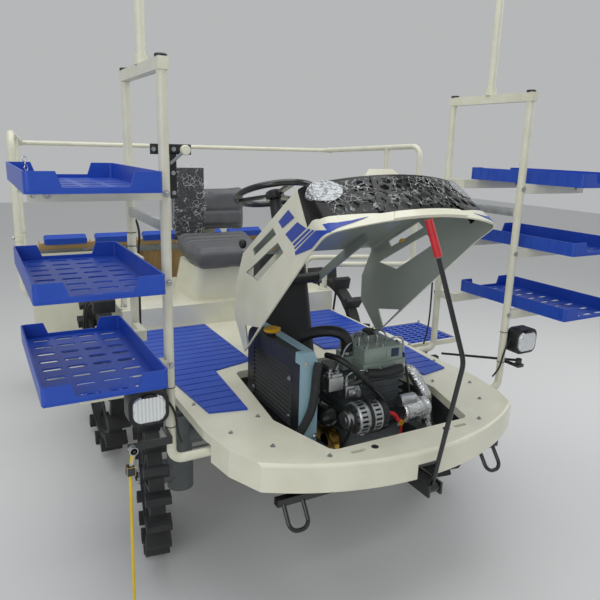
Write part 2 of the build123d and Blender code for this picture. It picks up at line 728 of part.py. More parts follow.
def hood_section(z, inset, rear_y):
    """One level of the closed hood with its bowed front, drawn inset from the outer face."""
    rise = (z - hood_bottom_z) / (hood_top_z - hood_bottom_z)
    front_half = 360 - 26 * rise - inset
    rear_half = 340 - 18 * rise - inset
    corner_y = -1462 + 110 * rise + inset
    nose_y = hood_front_y + 118 * rise + inset
    with BuildSketch(Plane.XY.offset(z)) as section:
        with BuildLine():
            front_right, front_left = (-front_half, corner_y), (front_half, corner_y)
            Polyline(front_right, (-rear_half, rear_y), (rear_half, rear_y), front_left)
            ThreePointArc(front_left, (0, nose_y), front_right)
        make_face()
        fillet(section.vertices().group_by(Axis.Y)[0], 60 - inset)
    return section.sketch


def side_prism(points):
    """A solid right across the machine with the given outline, seen from the side."""
    with BuildPart() as slab:
        with BuildSketch(Plane.YZ.offset(-400)):
            with BuildLine():
                Polyline(*points, close=True)
            make_face()
        extrude(amount=800)
    return slab.part


def hood_form(inset):
    """The closed hood as one solid, its faces moved in by inset; the underside is left open."""
    top_z = hood_nose_z - inset
    with BuildPart() as form:
        low_z = hood_bottom_z - 10
        loft([hood_section(low_z, inset, -540), hood_section(hood_top_z + 20, inset, -540)], ruled=True)
        above = ((-1700, top_z - 37), (-500, top_z + 139), (-500, 1200), (-1700, 1200))
        add(side_prism(above), mode=Mode.SUBTRACT)
        fillet(form.faces().sort_by(Axis.Z)[-1].edges().group_by(Axis.Y)[:-1], max(22 - inset, 2))
    return form.part


def front_prism(points, near_y):
    """What lies in front of near_y and inside an outline given for its left half, seen from the front."""
    outline = list(points) + [(-x, z) for x, z in reversed(points)]
    with BuildPart() as slab:
        with BuildSketch(Plane.XZ.offset(-near_y)):
            with BuildLine():
                Polyline(*outline, close=True)
            make_face()
        extrude(amount=400)
    return slab.part


# Outlines in the closed position: what the hood leaves out below and behind, its windows and its grille
hood_under = (
    (-1700, hood_low_z), (-1500, hood_low_z), (-1330, 752),
    (-582, hood_bottom_z), (-582, 600), (-1700, 600),
)
hood_behind = (
    (-582, 600),
    (-582, hood_bottom_z),
    (-562, 900),
    (-640, 990),
    (-800, 1058),
    (-800, 1200),
    (-400, 1200),
    (-400, 600),
)
hood_windows = (
    ((-1118, 980), (-1129, 945), (-905, 988), (-905, 1018)),
    ((-1128, 913), (-1036, 932), (-790, 978), (-880, 890), (-1150, 858)),
    ((-653, 806), (-790, 734), (-634, 722)),
)
grille_rear_y = -1352.0
grille_outline = ((-170, 780), (-342, 816), (-372, 866), (-372, 990), (-300, 978))


def lamp_prism(extra):
    """What lies in the two headlamp openings, their inner ends lower than their outer ends."""
    with BuildPart() as slab:
        with BuildSketch(Plane.XZ.offset(gap - grille_rear_y)):
            for side in (-1, 1):
                with Locations(Location((side * headlamp_x, headlamp_z), side * 15)):
                    Ellipse(52 + extra, 50 + extra)
        extrude(amount=400)
    return slab.part


hood_outside = hood_form(0)
hood_inside = hood_form(hood_wall)
grille_outside = hood_form(1.5)
grille_inside = hood_form(10)
lip_outside = hood_form(-9)

with BuildPart() as hood_lip:
    add(lip_outside)
    add(hood_form(5), mode=Mode.SUBTRACT)
    add(front_prism(((-150, hood_low_z), (-132, 774)), -1330), mode=Mode.INTERSECT)

with BuildPart() as hood_shell:
    add(hood_outside)
    add(hood_lip.part)
    # Crest along the middle of the top, from over the grille to where the top has risen to its height
    with BuildSketch(Plane.XZ.offset(1388)):
        with BuildLine():
            Polyline((-118, 960), (118, 960), (50, 1038), (-50, 1038), close=True)
        make_face()
    extrude(amount=-460)
    add(hood_inside, mode=Mode.SUBTRACT)
    add(side_prism(hood_under), mode=Mode.SUBTRACT)
    add(side_prism(hood_behind), mode=Mode.SUBTRACT)
    add(front_prism(grille_outline, grille_rear_y), mode=Mode.SUBTRACT)
    for window in hood_windows:
        add(side_prism(window), mode=Mode.SUBTRACT)
    # Arms from under the top back to the hinge pin
    for side in (-1, 1):
        with BuildSketch(Plane.YZ.offset(side * 172)) as arm:
            with BuildLine():
                Polyline(
                    (hinge_y, hinge_z - 18),
                    (-960, hood_nose_z + 26),
                    (-960, hood_nose_z + 66),
                    (-820, hood_nose_z + 87),
                    (hinge_y, hinge_z + 18),
                    close=True,
                )
            make_face()
            with Locations((hinge_y, hinge_z)):
                Circle(24)
        extrude(arm.sketch, amount=5, both=True)
    drum((-200, hinge_y, hinge_z), (1, 0, 0), hood_pin_d + 2 * run_gap, 400, Mode.SUBTRACT)
save("hood_shell", hood_shell, hood_turn)

# Grille: a black net that fills the nose, with two raised bars that spread towards the bottom
with BuildPart() as grille_bars:
    with BuildSketch(Plane.XZ.offset(-grille_rear_y)):
        for side in (-1, 1):
            Polygon((side * 98, 958), (side * 116, 958), (side * 176, 788), (side * 158, 788), align=None)
    extrude(amount=300)
    add(hood_form(-3), mode=Mode.INTERSECT)
    add(grille_inside, mode=Mode.SUBTRACT)

net_pitch = 46.0
with BuildPart() as hood_grille:
    add(grille_outside)
    add(grille_inside, mode=Mode.SUBTRACT)
    trim = [(x + gap if x < -200 else x, z + gap) for x, z in grille_outline[:3]]
    trim += [(x + gap, z - gap) for x, z in grille_outline[3:]]
    add(front_prism(trim, grille_rear_y - gap), mode=Mode.INTERSECT)
    add(lamp_prism(1), mode=Mode.SUBTRACT)
    with BuildSketch(Plane.XZ.offset(1340)):
        for row, reach in enumerate((4, 6, 4, 4, 4)):
            for cell in range(-reach, reach + row % 2):
                with Locations(((cell + 0.5 * (1 - row % 2)) * net_pitch, 806 + row * 31)):
                    RegularPolygon(17, 6)
    extrude(amount=300, mode=Mode.SUBTRACT)
    add(grille_bars.part)
save("hood_grille", hood_grille, hood_turn)

with BuildPart() as headlamps:
    add(hood_form(-2))
    add(hood_form(24), mode=Mode.SUBTRACT)
    add(lamp_prism(0), mode=Mode.INTERSECT)
save("headlamps", headlamps, hood_turn)


def parked(side):
    """Turn what is drawn straight ahead about the kingpin, to how the front wheels stand."""
    kingpin = Pos(side * kingpin_x, front_axle_y)
    return kingpin * Rot(0, 0, parked_steer) * kingpin.inverse()


# Wheels: a ring of rubber with lugs, on a rim with spokes and a hub that turns on its shaft
def tyre(name, side, axle_y, wheel_d, width, lugs, lug_h, turn=None):
    core_r = wheel_d / 2 - lug_h
    with BuildPart() as ring:
        with BuildSketch(Plane.YZ.offset(side * wheel_x)) as flat:
            with Locations((axle_y, wheel_d / 2)):
                Circle(core_r)
                Circle(core_r - 34, mode=Mode.SUBTRACT)
        extrude(flat.sketch, amount=width * 0.3, both=True)
        with BuildSketch(Plane.YZ.offset(side * wheel_x)) as teeth:
            with Locations((axle_y, wheel_d / 2)):
                with PolarLocations(0, lugs, start_angle=-90):
                    tip_r = wheel_d / 2
                    Polygon((core_r - 6, -25), (tip_r, -14), (tip_r, 14), (core_r - 6, 25), align=None)
        extrude(teeth.sketch, amount=width / 2, both=True)
    save(name, ring, turn)


def rim(name, side, axle_y, wheel_d, width, lug_h, shaft_d, spokes, turn=None):
    seat_r = wheel_d / 2 - lug_h - 34
    with BuildPart() as wheel:
        with BuildSketch(Plane.YZ.offset(side * wheel_x)) as flat:
            with Locations((axle_y, wheel_d / 2)):
                Circle(seat_r)
                Circle(seat_r - 12, mode=Mode.SUBTRACT)
        extrude(flat.sketch, amount=width * 0.22, both=True)
        for spoke in range(spokes):
            angle = 2 * pi * spoke / spokes
            swing = 0.25 if spoke % 2 else -0.25
            inner = (
                side * wheel_x + side * (26 if spoke % 2 else -26),
                axle_y + 34 * cos(angle + swing),
                wheel_d / 2 + 34 * sin(angle + swing),
            )
            outer = (
                side * wheel_x,
                axle_y + (seat_r - 6) * cos(angle),
                wheel_d / 2 + (seat_r - 6) * sin(angle),
            )
            rod((inner, outer), spoke_d)
        drum((side * wheel_x - 45, axle_y, wheel_d / 2), (1, 0, 0), 84, 90)
        bore = shaft_d + 2 * run_gap
        drum((side * wheel_x - 46, axle_y, wheel_d / 2), (1, 0, 0), bore, 92, Mode.SUBTRACT)
    save(name, wheel, turn)


front_lug_h = 46.0
rear_lug_h = 62.0
for side_name, side in SIDES:
    turn = parked(side)
    front = (side, front_axle_y, front_wheel_d, front_tyre_w)
    rear = (side, rear_axle_y, rear_wheel_d, rear_tyre_w)
    tyre("front_tyre_" + side_name, *front, front_lugs, front_lug_h, turn)
    tyre("rear_tyre_" + side_name, *rear, rear_lugs, rear_lug_h)
    rim("front_rim_" + side_name, *front, front_lug_h, front_shaft_d, 10, turn)
    rim("rear_rim_" + side_name, *rear, rear_lug_h, rear_shaft_d, 10)


# Knuckles: kingpin up into the axle housing, gear case, stub shaft and steering arm
arm_z = 300.0
ball_d = 16.0


def knuckle(name, side):
    with BuildPart() as upright:
        drum((side * kingpin_x, front_axle_y, 250), (0, 0, 1), 110, housing_low_z - gap - 250)
        drum((side * kingpin_x, front_axle_y, housing_low_z - 10), (0, 0, 1), kingpin_d, 110)
        drum((side * kingpin_x, front_axle_y, axle_z), (side, 0, 0), 100, 74)
        drum((side * kingpin_x, front_axle_y, axle_z), (side, 0, 0), front_shaft_d, wheel_x + 48 - kingpin_x)
        arm = sorted((side * kingpin_x - 18, side * kingpin_x + 18))
        block(arm, (front_axle_y, front_axle_y + steer_arm + 18), (arm_z, arm_z + 20))
        drum((side * kingpin_x, front_axle_y + steer_arm, arm_z + 10), (0, 0, 1), ball_d, 46)
    save(name, upright, parked(side))


for side_name, side in SIDES:
    knuckle("knuckle_" + side_name, side)

tie_z = arm_z + 40
tie_x = -steer_arm * sin(radians(parked_steer))
tie_y = front_axle_y + steer_arm * cos(radians(parked_steer))
with BuildPart() as tie_rod:
    drum((tie_x - kingpin_x, tie_y, tie_z), (1, 0, 0), tie_rod_d, 2 * kingpin_x)
    for side in (-1, 1):
        drum((tie_x + side * kingpin_x, tie_y, tie_z - 14), (0, 0, 1), 34, 28)
    for side in (-1, 1):
        bore = ball_d + 2 * run_gap
        drum((tie_x + side * kingpin_x, tie_y, tie_z - 15), (0, 0, 1), bore, 30, Mode.SUBTRACT)
save("tie_rod", tie_rod)

# Lift linkage: two lower links joined by a cross tube, one upper link and the cylinder
rear_pivot_y = link_y + link_len_y
lower_rear_z = lower_link_z - link_drop
upper_rear_z = upper_link_z - link_drop
eye_y = link_y + eye_along
eye_z = lower_link_z - link_drop * eye_along / link_len_y
with BuildPart() as lower_links:
    for side in (-1, 1):
        rod(((side * link_x, link_y, lower_link_z), (side * link_x, rear_pivot_y, lower_rear_z)), 30)
        for end_y, end_z in ((link_y, lower_link_z), (rear_pivot_y, lower_rear_z)):
            drum((side * link_x - 11, end_y, end_z), (1, 0, 0), 48, 22)
    drum((-link_x, eye_y, eye_z), (1, 0, 0), 24, 2 * link_x)
    for end_y, end_z in ((link_y, lower_link_z), (rear_pivot_y, lower_rear_z)):
        pin_end = (-link_x - 20, end_y, end_z)
        drum(pin_end, (1, 0, 0), link_pin_d + 2 * run_gap, 2 * link_x + 40, Mode.SUBTRACT)
save("lower_links", lower_links)

with BuildPart() as upper_link:
    rod(((0, link_y, upper_link_z), (0, rear_pivot_y, upper_rear_z)), 26)
    for end_y, end_z in ((link_y, upper_link_z), (rear_pivot_y, upper_rear_z)):
        drum((-22, end_y, end_z), (1, 0, 0), 46, 44)
        drum((-23, end_y, end_z), (1, 0, 0), link_pin_d + 2 * run_gap, 46, Mode.SUBTRACT)
save("upper_link", upper_link)

cylinder_len = ((eye_y - cylinder_y) ** 2 + (eye_z - cylinder_z) ** 2) ** 0.5
cylinder_axis = (0, (eye_y - cylinder_y) / cylinder_len, (eye_z - cylinder_z) / cylinder_len)
cylinder_rod_d = 28.0


def along_cylinder(distance):
    return (0, cylinder_y + cylinder_axis[1] * distance, cylinder_z + cylinder_axis[2] * distance)


with BuildPart() as lift_barrel:
    drum(along_cylinder(0), cylinder_axis, 56, 235)
    drum((-30, cylinder_y, cylinder_z), (1, 0, 0), 48, 60)
    drum((-31, cylinder_y, cylinder_z), (1, 0, 0), link_pin_d + 2 * run_gap, 62, Mode.SUBTRACT)
    drum(along_cylinder(60), cylinder_axis, cylinder_rod_d + 2 * run_gap, 180, Mode.SUBTRACT)
save("lift_barrel", lift_barrel)

with BuildPart() as lift_rod:
    drum(along_cylinder(115), cylinder_axis, cylinder_rod_d, cylinder_len - 115)
    drum((-14, eye_y, eye_z), (1, 0, 0), 56, 28)
    drum((-15, eye_y, eye_z), (1, 0, 0), 24 + 10, 30, Mode.SUBTRACT)
save("lift_rod", lift_rod)

# Planting section: beam, mast, table guides and the arms that carry the floats
beam_front_y = 1020.0
beam_w = 70.0
beam_low_z = 300.0
float_xs = (-600.0, 0.0, 600.0)
with BuildPart() as planter_frame:
    block((-860, 860), (beam_front_y, beam_front_y + beam_w), (beam_low_z, beam_low_z + beam_w))
    for side in (-1, 1):
        plate = (side * hitch_x - 6, side * hitch_x + 6)
        block(plate, (rear_pivot_y - 28, beam_front_y + 30), (lower_rear_z - 40, upper_rear_z + 34))
        drum((side * hitch_x, rear_pivot_y, lower_rear_z), (side, 0, 0), link_pin_d, link_x + 14 - hitch_x)
        rod(((side * 300, 1055, beam_low_z + beam_w - 2), (side * 300, 1112, 880)), 30)
        for arm_x in (side * 300, side * 845):
            block((arm_x - 14, arm_x + 14), (beam_front_y + beam_w - 5, 1272), (beam_low_z + 45, 405))
    drum((-hitch_x, rear_pivot_y, upper_rear_z), (1, 0, 0), link_pin_d, 2 * hitch_x)
    block((-860, 860), (1270, 1300), (405, 440))
    for float_x in float_xs:
        block((float_x - 16, float_x + 16), (1040, 1070), (float_bottom_z + float_h + gap, beam_low_z))
save("planter_frame", planter_frame)

# Covers in front of the seedling table: upright over the frame's arms, then leaning forward past the masts
cover_t = 12.0
cover_foot_z = 405 + gap
cover_bend_z = 700.0
cover_top_z = 985.0
with BuildPart() as planter_covers:
    for side in (-1, 1):
        with BuildSketch(Plane.YZ.offset(side * 325)) as profile:
            with BuildLine():
                Polyline(
                    (1130, cover_foot_z),
                    (1130, cover_bend_z),
                    (1040, cover_top_z),
                    (1040 + cover_t, cover_top_z),
                    (1130 + cover_t, cover_bend_z + 2),
                    (1130 + cover_t, cover_foot_z),
                    close=True,
                )
            make_face()
        extrude(profile.sketch, amount=side * 660)
save("planter_covers", planter_covers)

with BuildPart() as floats:
    for float_x in float_xs:
        with BuildSketch(Plane.YZ.offset(float_x - float_half)):
            with BuildLine():
                Polyline(
                    (900, float_bottom_z + float_h),
                    (930, float_bottom_z + 12),
                    (990, float_bottom_z),
                    (1560, float_bottom_z),
                    (1560, float_bottom_z + 30),
                    (1500, float_bottom_z + float_h),
                    close=True,
                )
            make_face()
        extrude(amount=2 * float_half)
save("floats", floats)

case_half = 42.0
rotor_shaft_d = 30.0
with BuildPart() as planting_cases:
    for case_x in float_xs:
        with BuildSketch(Plane.YZ.offset(case_x)) as profile:
            with BuildLine():
                Polyline(
                    (beam_front_y + beam_w + gap, 305),
                    (rotor_y, rotor_z - 55),
                    (rotor_y, rotor_z + 55),
                    (beam_front_y + beam_w + gap, 366),
                    close=True,
                )
            make_face()
            with Locations((rotor_y, rotor_z)):
                Circle(55)
        extrude(profile.sketch, amount=case_half, both=True)
    bore = rotor_shaft_d + 2 * run_gap
    drum((-700, rotor_y, rotor_z), (1, 0, 0), bore, 1400, Mode.SUBTRACT)
save("planting_cases", planting_cases)

# Rotary planting arms: on each shaft two rotor cases, each with two arms and their forked claws
rotor_in = case_half + 5
rotor_out = rotor_in + 40
with BuildPart() as planting_rotors:
    for case_x in float_xs:
        drum((case_x - rotor_out, rotor_y, rotor_z), (1, 0, 0), rotor_shaft_d, 2 * rotor_out)
        for side in (-1, 1):
            phase = 20 if side > 0 else 110
            with BuildSketch(Plane.YZ.offset(case_x + side * (rotor_in + rotor_out) / 2)) as case:
                with Locations(Location((rotor_y, rotor_z), phase)):
                    SlotOverall(250, 96)
                    Circle(58)
            extrude(case.sketch, amount=20, both=True)
            for end in (0, 180):
                turn = radians(phase + end)
                hub_at = (rotor_y + 78 * cos(turn), rotor_z + 78 * sin(turn))
                with BuildSketch(Plane.YZ.offset(case_x + side * (rotor_out + 28))) as arm:
                    with Locations(Location(hub_at, phase + end - 58)):
                        with Locations((20, 0)):
                            RectangleRounded(118, 54, 20)
                extrude(arm.sketch, amount=28, both=True)
                with BuildSketch(Plane.YZ.offset(case_x + side * (rotor_out + 66))) as claw:
                    with Locations(Location((rotor_y, rotor_z), phase + end)):
                        Polygon((100, -60), (112, -88), (150, -70), (rotor_tip_r - 2, -12), align=None)
                extrude(claw.sketch, amount=10, both=True)
save("planting_rotors", planting_rotors)

# Seedling table: six lanes on a sloping sheet that slides across the machine
table_half = 930.0
slope_len = ((table_low_y - table_top_y) ** 2 + (table_top_z - table_low_z) ** 2) ** 0.5
table_plane = Plane(
    origin=(0, table_low_y, table_low_z),
    x_dir=(-1, 0, 0),
    z_dir=(0, (table_top_z - table_low_z) / slope_len, (table_low_y - table_top_y) / slope_len),
)
with BuildPart() as seedling_table:
    with BuildSketch(table_plane):
        with Locations((0, slope_len / 2)):
            Rectangle(2 * table_half, slope_len)
    extrude(amount=table_t)
    with BuildSketch(table_plane.offset(table_t)):
        for line in range(rows + 1):
            with Locations(((line - rows / 2) * (row_pitch + 8), slope_len / 2)):
                Rectangle(10, slope_len)
    extrude(amount=lane_rib_h)
    block((-table_half, table_half), (1264, table_low_y + 4), (440.5, 456))
save("seedling_table", seedling_table)

with BuildPart() as table_caps:
    for lane in range(rows):
        lane_x = (lane - (rows - 1) / 2) * (row_pitch + 8)
        with BuildSketch(table_plane.offset(-16)):
            with Locations((lane_x, slope_len + gap + 22)):
                RectangleRounded(row_pitch - 44, 44, 14)
        extrude(amount=50)
save("table_caps", table_caps)

with BuildPart() as table_rail:
    with BuildSketch(table_plane.offset(-gap)):
        with Locations((0, slope_len - 60)):
            Rectangle(2 * table_half - 20, 40)
        with Locations((0, slope_len - 42)):
            with GridLocations(77, 10, 24, 1):
                Rectangle(30, 12, mode=Mode.SUBTRACT)
    extrude(amount=-18)
save("table_rail", table_rail)
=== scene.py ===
"""Looks for the riding rice transplanter, in metres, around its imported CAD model.

The machine faces -Y, +Z is up, and the driver's right hand is at -X.
"""
import math

import bmesh
import bpy
from mathutils import Matrix, Vector, noise
from mathutils.bvhtree import BVHTree


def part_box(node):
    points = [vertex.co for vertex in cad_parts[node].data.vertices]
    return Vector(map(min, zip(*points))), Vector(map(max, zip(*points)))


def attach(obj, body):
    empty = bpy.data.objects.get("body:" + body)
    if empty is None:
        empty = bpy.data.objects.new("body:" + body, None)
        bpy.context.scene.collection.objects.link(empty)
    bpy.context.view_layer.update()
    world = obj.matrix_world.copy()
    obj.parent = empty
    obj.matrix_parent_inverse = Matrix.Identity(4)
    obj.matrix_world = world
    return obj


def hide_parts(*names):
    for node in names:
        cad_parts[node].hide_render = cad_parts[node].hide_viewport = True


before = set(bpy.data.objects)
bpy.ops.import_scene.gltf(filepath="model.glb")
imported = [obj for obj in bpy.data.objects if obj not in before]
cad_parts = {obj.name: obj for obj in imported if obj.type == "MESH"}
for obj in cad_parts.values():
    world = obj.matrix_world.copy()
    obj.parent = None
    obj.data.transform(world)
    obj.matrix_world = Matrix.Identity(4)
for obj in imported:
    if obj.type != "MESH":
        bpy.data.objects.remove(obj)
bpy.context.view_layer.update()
MM = 0.001
SIDES = (("right", -1), ("left", 1))

# Directions of shafts, bolts and lamps
UP = (0, 0, 1)
AHEAD = (0, -1, 0)
LEFTWARD = (1, 0, 0)

# The hood's hinge pin in y and z, in millimetres, and how far the hood stands open
HOOD_PIN = (-508.0, 1067.0)
HOOD_OPEN = math.radians(40)
# Straight back along the hood, turned open with it
HOOD_BACKWARD = Vector((0, math.cos(HOOD_OPEN), -math.sin(HOOD_OPEN)))


def opened_place(place):
    """Where a point of the closed hood is with the hood open."""
    x, y, z = place
    dy, dz = y - HOOD_PIN[0], z - HOOD_PIN[1]
    c, s = math.cos(HOOD_OPEN), math.sin(HOOD_OPEN)
    return (x, HOOD_PIN[0] + dy * c + dz * s, HOOD_PIN[1] - dy * s + dz * c)


def put(name, data):
    """Put a new object in the scene."""
    thing = bpy.data.objects.new(name, data)
    bpy.context.scene.collection.objects.link(thing)
    return thing


def baked(thing):
    """A plain mesh of what an object's curve or modifiers make."""
    graph = bpy.context.evaluated_depsgraph_get()
    return bpy.data.meshes.new_from_object(thing.evaluated_get(graph))


# Helpers for materials

def linear(hex_colour):
    """sRGB hex to a linear RGBA."""
    out = []
    for i in (1, 3, 5):
        c = int(hex_colour[i : i + 2], 16) / 255
        out.append(c / 12.92 if c <= 0.04045 else ((c + 0.055) / 1.055) ** 2.4)
    return (*out, 1.0)


def add(tree, kind, settings=(), values=(), links=()):
    """Add a shader node, set its properties and input values, and link its inputs."""
    node = tree.nodes.new(kind)
    for key, value in dict(settings).items():
        setattr(node, key, value)
    for key, value in dict(values).items():
        node.inputs[key].default_value = value
    for key, socket in dict(links).items():
        tree.links.new(socket, node.inputs[key])
    return node


def start(name, base, rough, **sockets):
    """A material with its Principled shader set to one finish, and its Object coordinates."""
    mat = bpy.data.materials.new(name)
    mat.use_nodes = True
    tree = mat.node_tree
    shader = tree.nodes["Principled BSDF"]
    shader.inputs["Base Color"].default_value = linear(base)
    shader.inputs["Roughness"].default_value = rough
    for key, value in sockets.items():
        shader.inputs[key.replace("_", " ")].default_value = value
    where = add(tree, "ShaderNodeTexCoord").outputs["Object"]
    return mat, tree, shader, where


# A Mix node's sockets by their place, because its number, vector and colour sockets share their names
MIX_FACTOR, MIX_A, MIX_B, MIX_RESULT = 0, 6, 7, 2


def mottle(tree, shader, where, base, other, per_metre, amount):
    """Vary the colour softly between base and other."""
    cloud = add(tree, "ShaderNodeTexNoise", values={"Scale": per_metre, "Detail": 3.0},
                links={"Vector": where})
    ramp = add(tree, "ShaderNodeMapRange", values={"From Min": 0.35, "From Max": 0.75, "To Max": amount},
               links={"Value": cloud.outputs["Fac"]})
    mix = add(tree, "ShaderNodeMix", {"data_type": "RGBA"}, {MIX_A: linear(base), MIX_B: linear(other)},
              {MIX_FACTOR: ramp.outputs["Result"]})
    tree.links.new(mix.outputs[MIX_RESULT], shader.inputs["Base Color"])
    return mix.outputs[MIX_RESULT]


def bumps(tree, shader, where, per_metre, height):
    """Raise a fine grain, height in metres."""
    grain = add(tree, "ShaderNodeTexNoise", values={"Scale": per_metre, "Detail": 2.0},
                links={"Vector": where})
    bump = add(tree, "ShaderNodeBump", values={"Distance": height, "Strength": 1.0},
               links={"Height": grain.outputs["Fac"]})
    tree.links.new(bump.outputs["Normal"], shader.inputs["Normal"])
    return grain.outputs["Fac"]


def crease(tree, shader, where, per_metre, height):
    """Fold the surface along a net of creases, height in metres, and return the way to the nearest crease."""
    net = add(tree, "ShaderNodeTexVoronoi", {"feature": "DISTANCE_TO_EDGE"}, {"Scale": per_metre},
              {"Vector": where})
    bump = add(tree, "ShaderNodeBump", values={"Distance": height}, links={"Height": net.outputs["Distance"]})
    tree.links.new(bump.outputs["Normal"], shader.inputs["Normal"])
    return net.outputs["Distance"]


def finish(name, base, other, rough, per_metre, amount, grain_per_metre, grain_height, **sockets):
    """A finish with soft colour variation, uneven gloss and a fine grain."""
    mat, tree, shader, where = start(name, base, rough, **sockets)
    mottle(tree, shader, where, base, other, per_metre, amount)
    out = bumps(tree, shader, where, grain_per_metre, grain_height)
    spread = add(tree, "ShaderNodeMapRange", values={"To Min": rough * 0.85, "To Max": rough * 1.2},
                 links={"Value": out})
    tree.links.new(spread.outputs["Result"], shader.inputs["Roughness"])
    return mat


# Each finish has two colours, roughness, patches per metre and their strength,
# then grains per metre and their height
# HOOD_INSIDE_SHADE is painted shade: the darker grey-green given to the hood's inside faces
CREAM, CREAM_DUST, HOOD_INSIDE_SHADE = "#E3E2CE", "#CFCDB6", "#9AA29A"

# Glossy moulded panels: even, slightly yellow-green cream with faint dust and a soft sheen
cream_abs = finish("cream moulded ABS", CREAM, CREAM_DUST, 0.28, 7, 0.55, 260, 0.00012, Coat_Weight=0.25)
# The tubes' coat is a shade duller than the panels, with a fine orange peel
cream_paint = finish("cream powder coat on steel tube", "#DFDECB", "#C6C3AC", 0.34, 14, 0.5, 700, 0.0001)
# Strong blue trays and mats, half gloss, a little paler where they are rubbed
blue_abs = finish("royal blue moulded polypropylene", "#1946B0", "#2A58BE", 0.36, 9, 0.5, 600, 0.00015)
# Soft black plastic whose grain breaks up every highlight
black_abs = finish("black moulded polypropylene", "#17191B", "#26292B", 0.42, 18, 0.6, 900, 0.0002)
# Smooth shiny black with sharp window reflections
black_gloss = finish(
    "black lacquered steel", "#101112", "#1D1F21", 0.22, 18, 0.6, 500, 0.0001, Coat_Weight=0.4
)
# Deep black grille, glossy enough to mirror the lights in small sharp spots
grille_black = finish(
    "glossy black moulded grille", "#050606", "#0A0B0C", 0.16, 18, 0.5, 500, 0.0001, Specular_IOR_Level=0.25
)
# Thin black paint on rolled steel, greyer where dust lies
chassis_black = finish("satin black chassis paint", "#26292B", "#3A3C3C", 0.48, 12, 0.7, 300, 0.0003)
# Dull grey paint over a sandy casting skin
cast_grey = finish("grey painted gear casting", "#6C7171", "#55595A", 0.5, 16, 0.6, 420, 0.0006)
# Dark blue-grey engine iron, rough and lightly oiled in patches
engine_iron = finish("dark painted cast iron", "#4A5154", "#353A3C", 0.48, 22, 0.7, 380, 0.0007)
# Pale grey-green cover, smooth and half gloss
cover_green = finish("grey-green painted cast cover", "#8E9C94", "#7B8882", 0.38, 18, 0.5, 500, 0.0003)
# Bare pale casting: grainy, with blurred bright reflections
cast_alu = finish("sand cast aluminium", "#C4C7C7", "#9A9E9F", 0.38, 30, 0.6, 700, 0.0003, Metallic=1.0)
# Bright cold white metal with a faint haze
bright_steel = finish("zinc plated steel", "#C2C5C6", "#9A9EA0", 0.28, 40, 0.5, 900, 0.00008, Metallic=1.0)
# Warm yellow metal of the pulleys, uneven from the bath
gold_plate = finish("yellow passivated steel", "#C2A052", "#9B7A36", 0.3, 40, 0.6, 800, 0.0001, Metallic=1.0)
# Grey-blue paint, flat on the folded plates and paler at their edges
teal_paint = finish("grey-blue painted bracket", "#8FB0BC", "#7D9DA8", 0.4, 16, 0.5, 500, 0.0002)
# Matt black rubber with a soft grey bloom
hose_rubber = finish("EPDM hose rubber", "#1B1D1E", "#2B2D2E", 0.5, 30, 0.6, 900, 0.0002)
# Dark grey-brown rubber, dry and dusty between the lugs
tyre_rubber = finish("solid tyre rubber", "#232527", "#3A3936", 0.68, 12, 0.7, 300, 0.0006)
# Thin black coat on the spokes, half matt
rim_coat = finish("black coated wheel steel", "#232526", "#34363A", 0.45, 14, 0.6, 500, 0.0002)
# Warm tan board of the seedling table, nearly matt
tan_board = finish("tan moulded table panel", "#B99A68", "#A48556", 0.45, 9, 0.6, 300, 0.0003)
# Mid grey plastic rail
grey_abs = finish("grey moulded rail", "#84898B", "#6D7274", 0.42, 12, 0.5, 500, 0.0002)
# Bright red sleeve with a vinyl shine
red_sleeve = finish("red vinyl sleeve", "#C8242C", "#A91C24", 0.32, 30, 0.5, 800, 0.0002)
# Clear yellow paint on a thin tube
yellow_tube = finish("yellow painted marker tube", "#E2C21C", "#C8A814", 0.36, 20, 0.5, 600, 0.0001)
# Grey seat cover: leather-like grain about a millimetre across, with a low sheen
seat_vinyl = finish("embossed seat vinyl", "#55575A", "#626467", 0.46, 16, 0.6, 1400, 0.0004)


def foil_finish():
    """Aluminium foil wrapped by hand: bright, with sharp crumples about 9 mm apart."""
    mat, tree, shader, where = start("crumpled aluminium foil", "#D6D8D8", 0.2, Metallic=1.0)
    crease(tree, shader, where, 110, 0.003)
    return mat


def film_finish(name, low, high, per_metre):
    """Clear packing film: nearly invisible between its creases, which are painted as thin wandering white
    lines, painted glints of the creases.
    """
    mat, tree, shader, where = start(name, "#E4E8EA", 0.12, Specular_IOR_Level=0.8)
    wander = add(tree, "ShaderNodeTexNoise", values={"Scale": 14, "Detail": 4}, links={"Vector": where})
    pushed = add(tree, "ShaderNodeVectorMath", {"operation": "MULTIPLY_ADD"}, {1: (0.07, 0.07, 0.07)},
                 {0: wander.outputs["Color"], 2: where}).outputs[0]
    away = crease(tree, shader, pushed, per_metre, 0.01)
    # Painted glints: the film turns opaque white along its creases, in patches
    line = add(tree, "ShaderNodeMapRange", values={"From Max": 0.05, "To Min": 1.0, "To Max": 0.0},
               links={"Value": away})
    patch = add(tree, "ShaderNodeTexNoise", values={"Scale": 17, "Detail": 4}, links={"Vector": pushed})
    there = add(tree, "ShaderNodeMapRange", values={"From Min": 0.41, "From Max": 0.56},
                links={"Value": patch.outputs["Fac"]})
    painted_glint_lines = add(tree, "ShaderNodeMath", {"operation": "MULTIPLY"},
               links={0: line.outputs["Result"], 1: there.outputs["Result"]})
    cover = add(tree, "ShaderNodeMapRange", values={"To Min": low, "To Max": high},
                links={"Value": painted_glint_lines.outputs[0]})
    tree.links.new(cover.outputs["Result"], shader.inputs["Alpha"])
    return mat


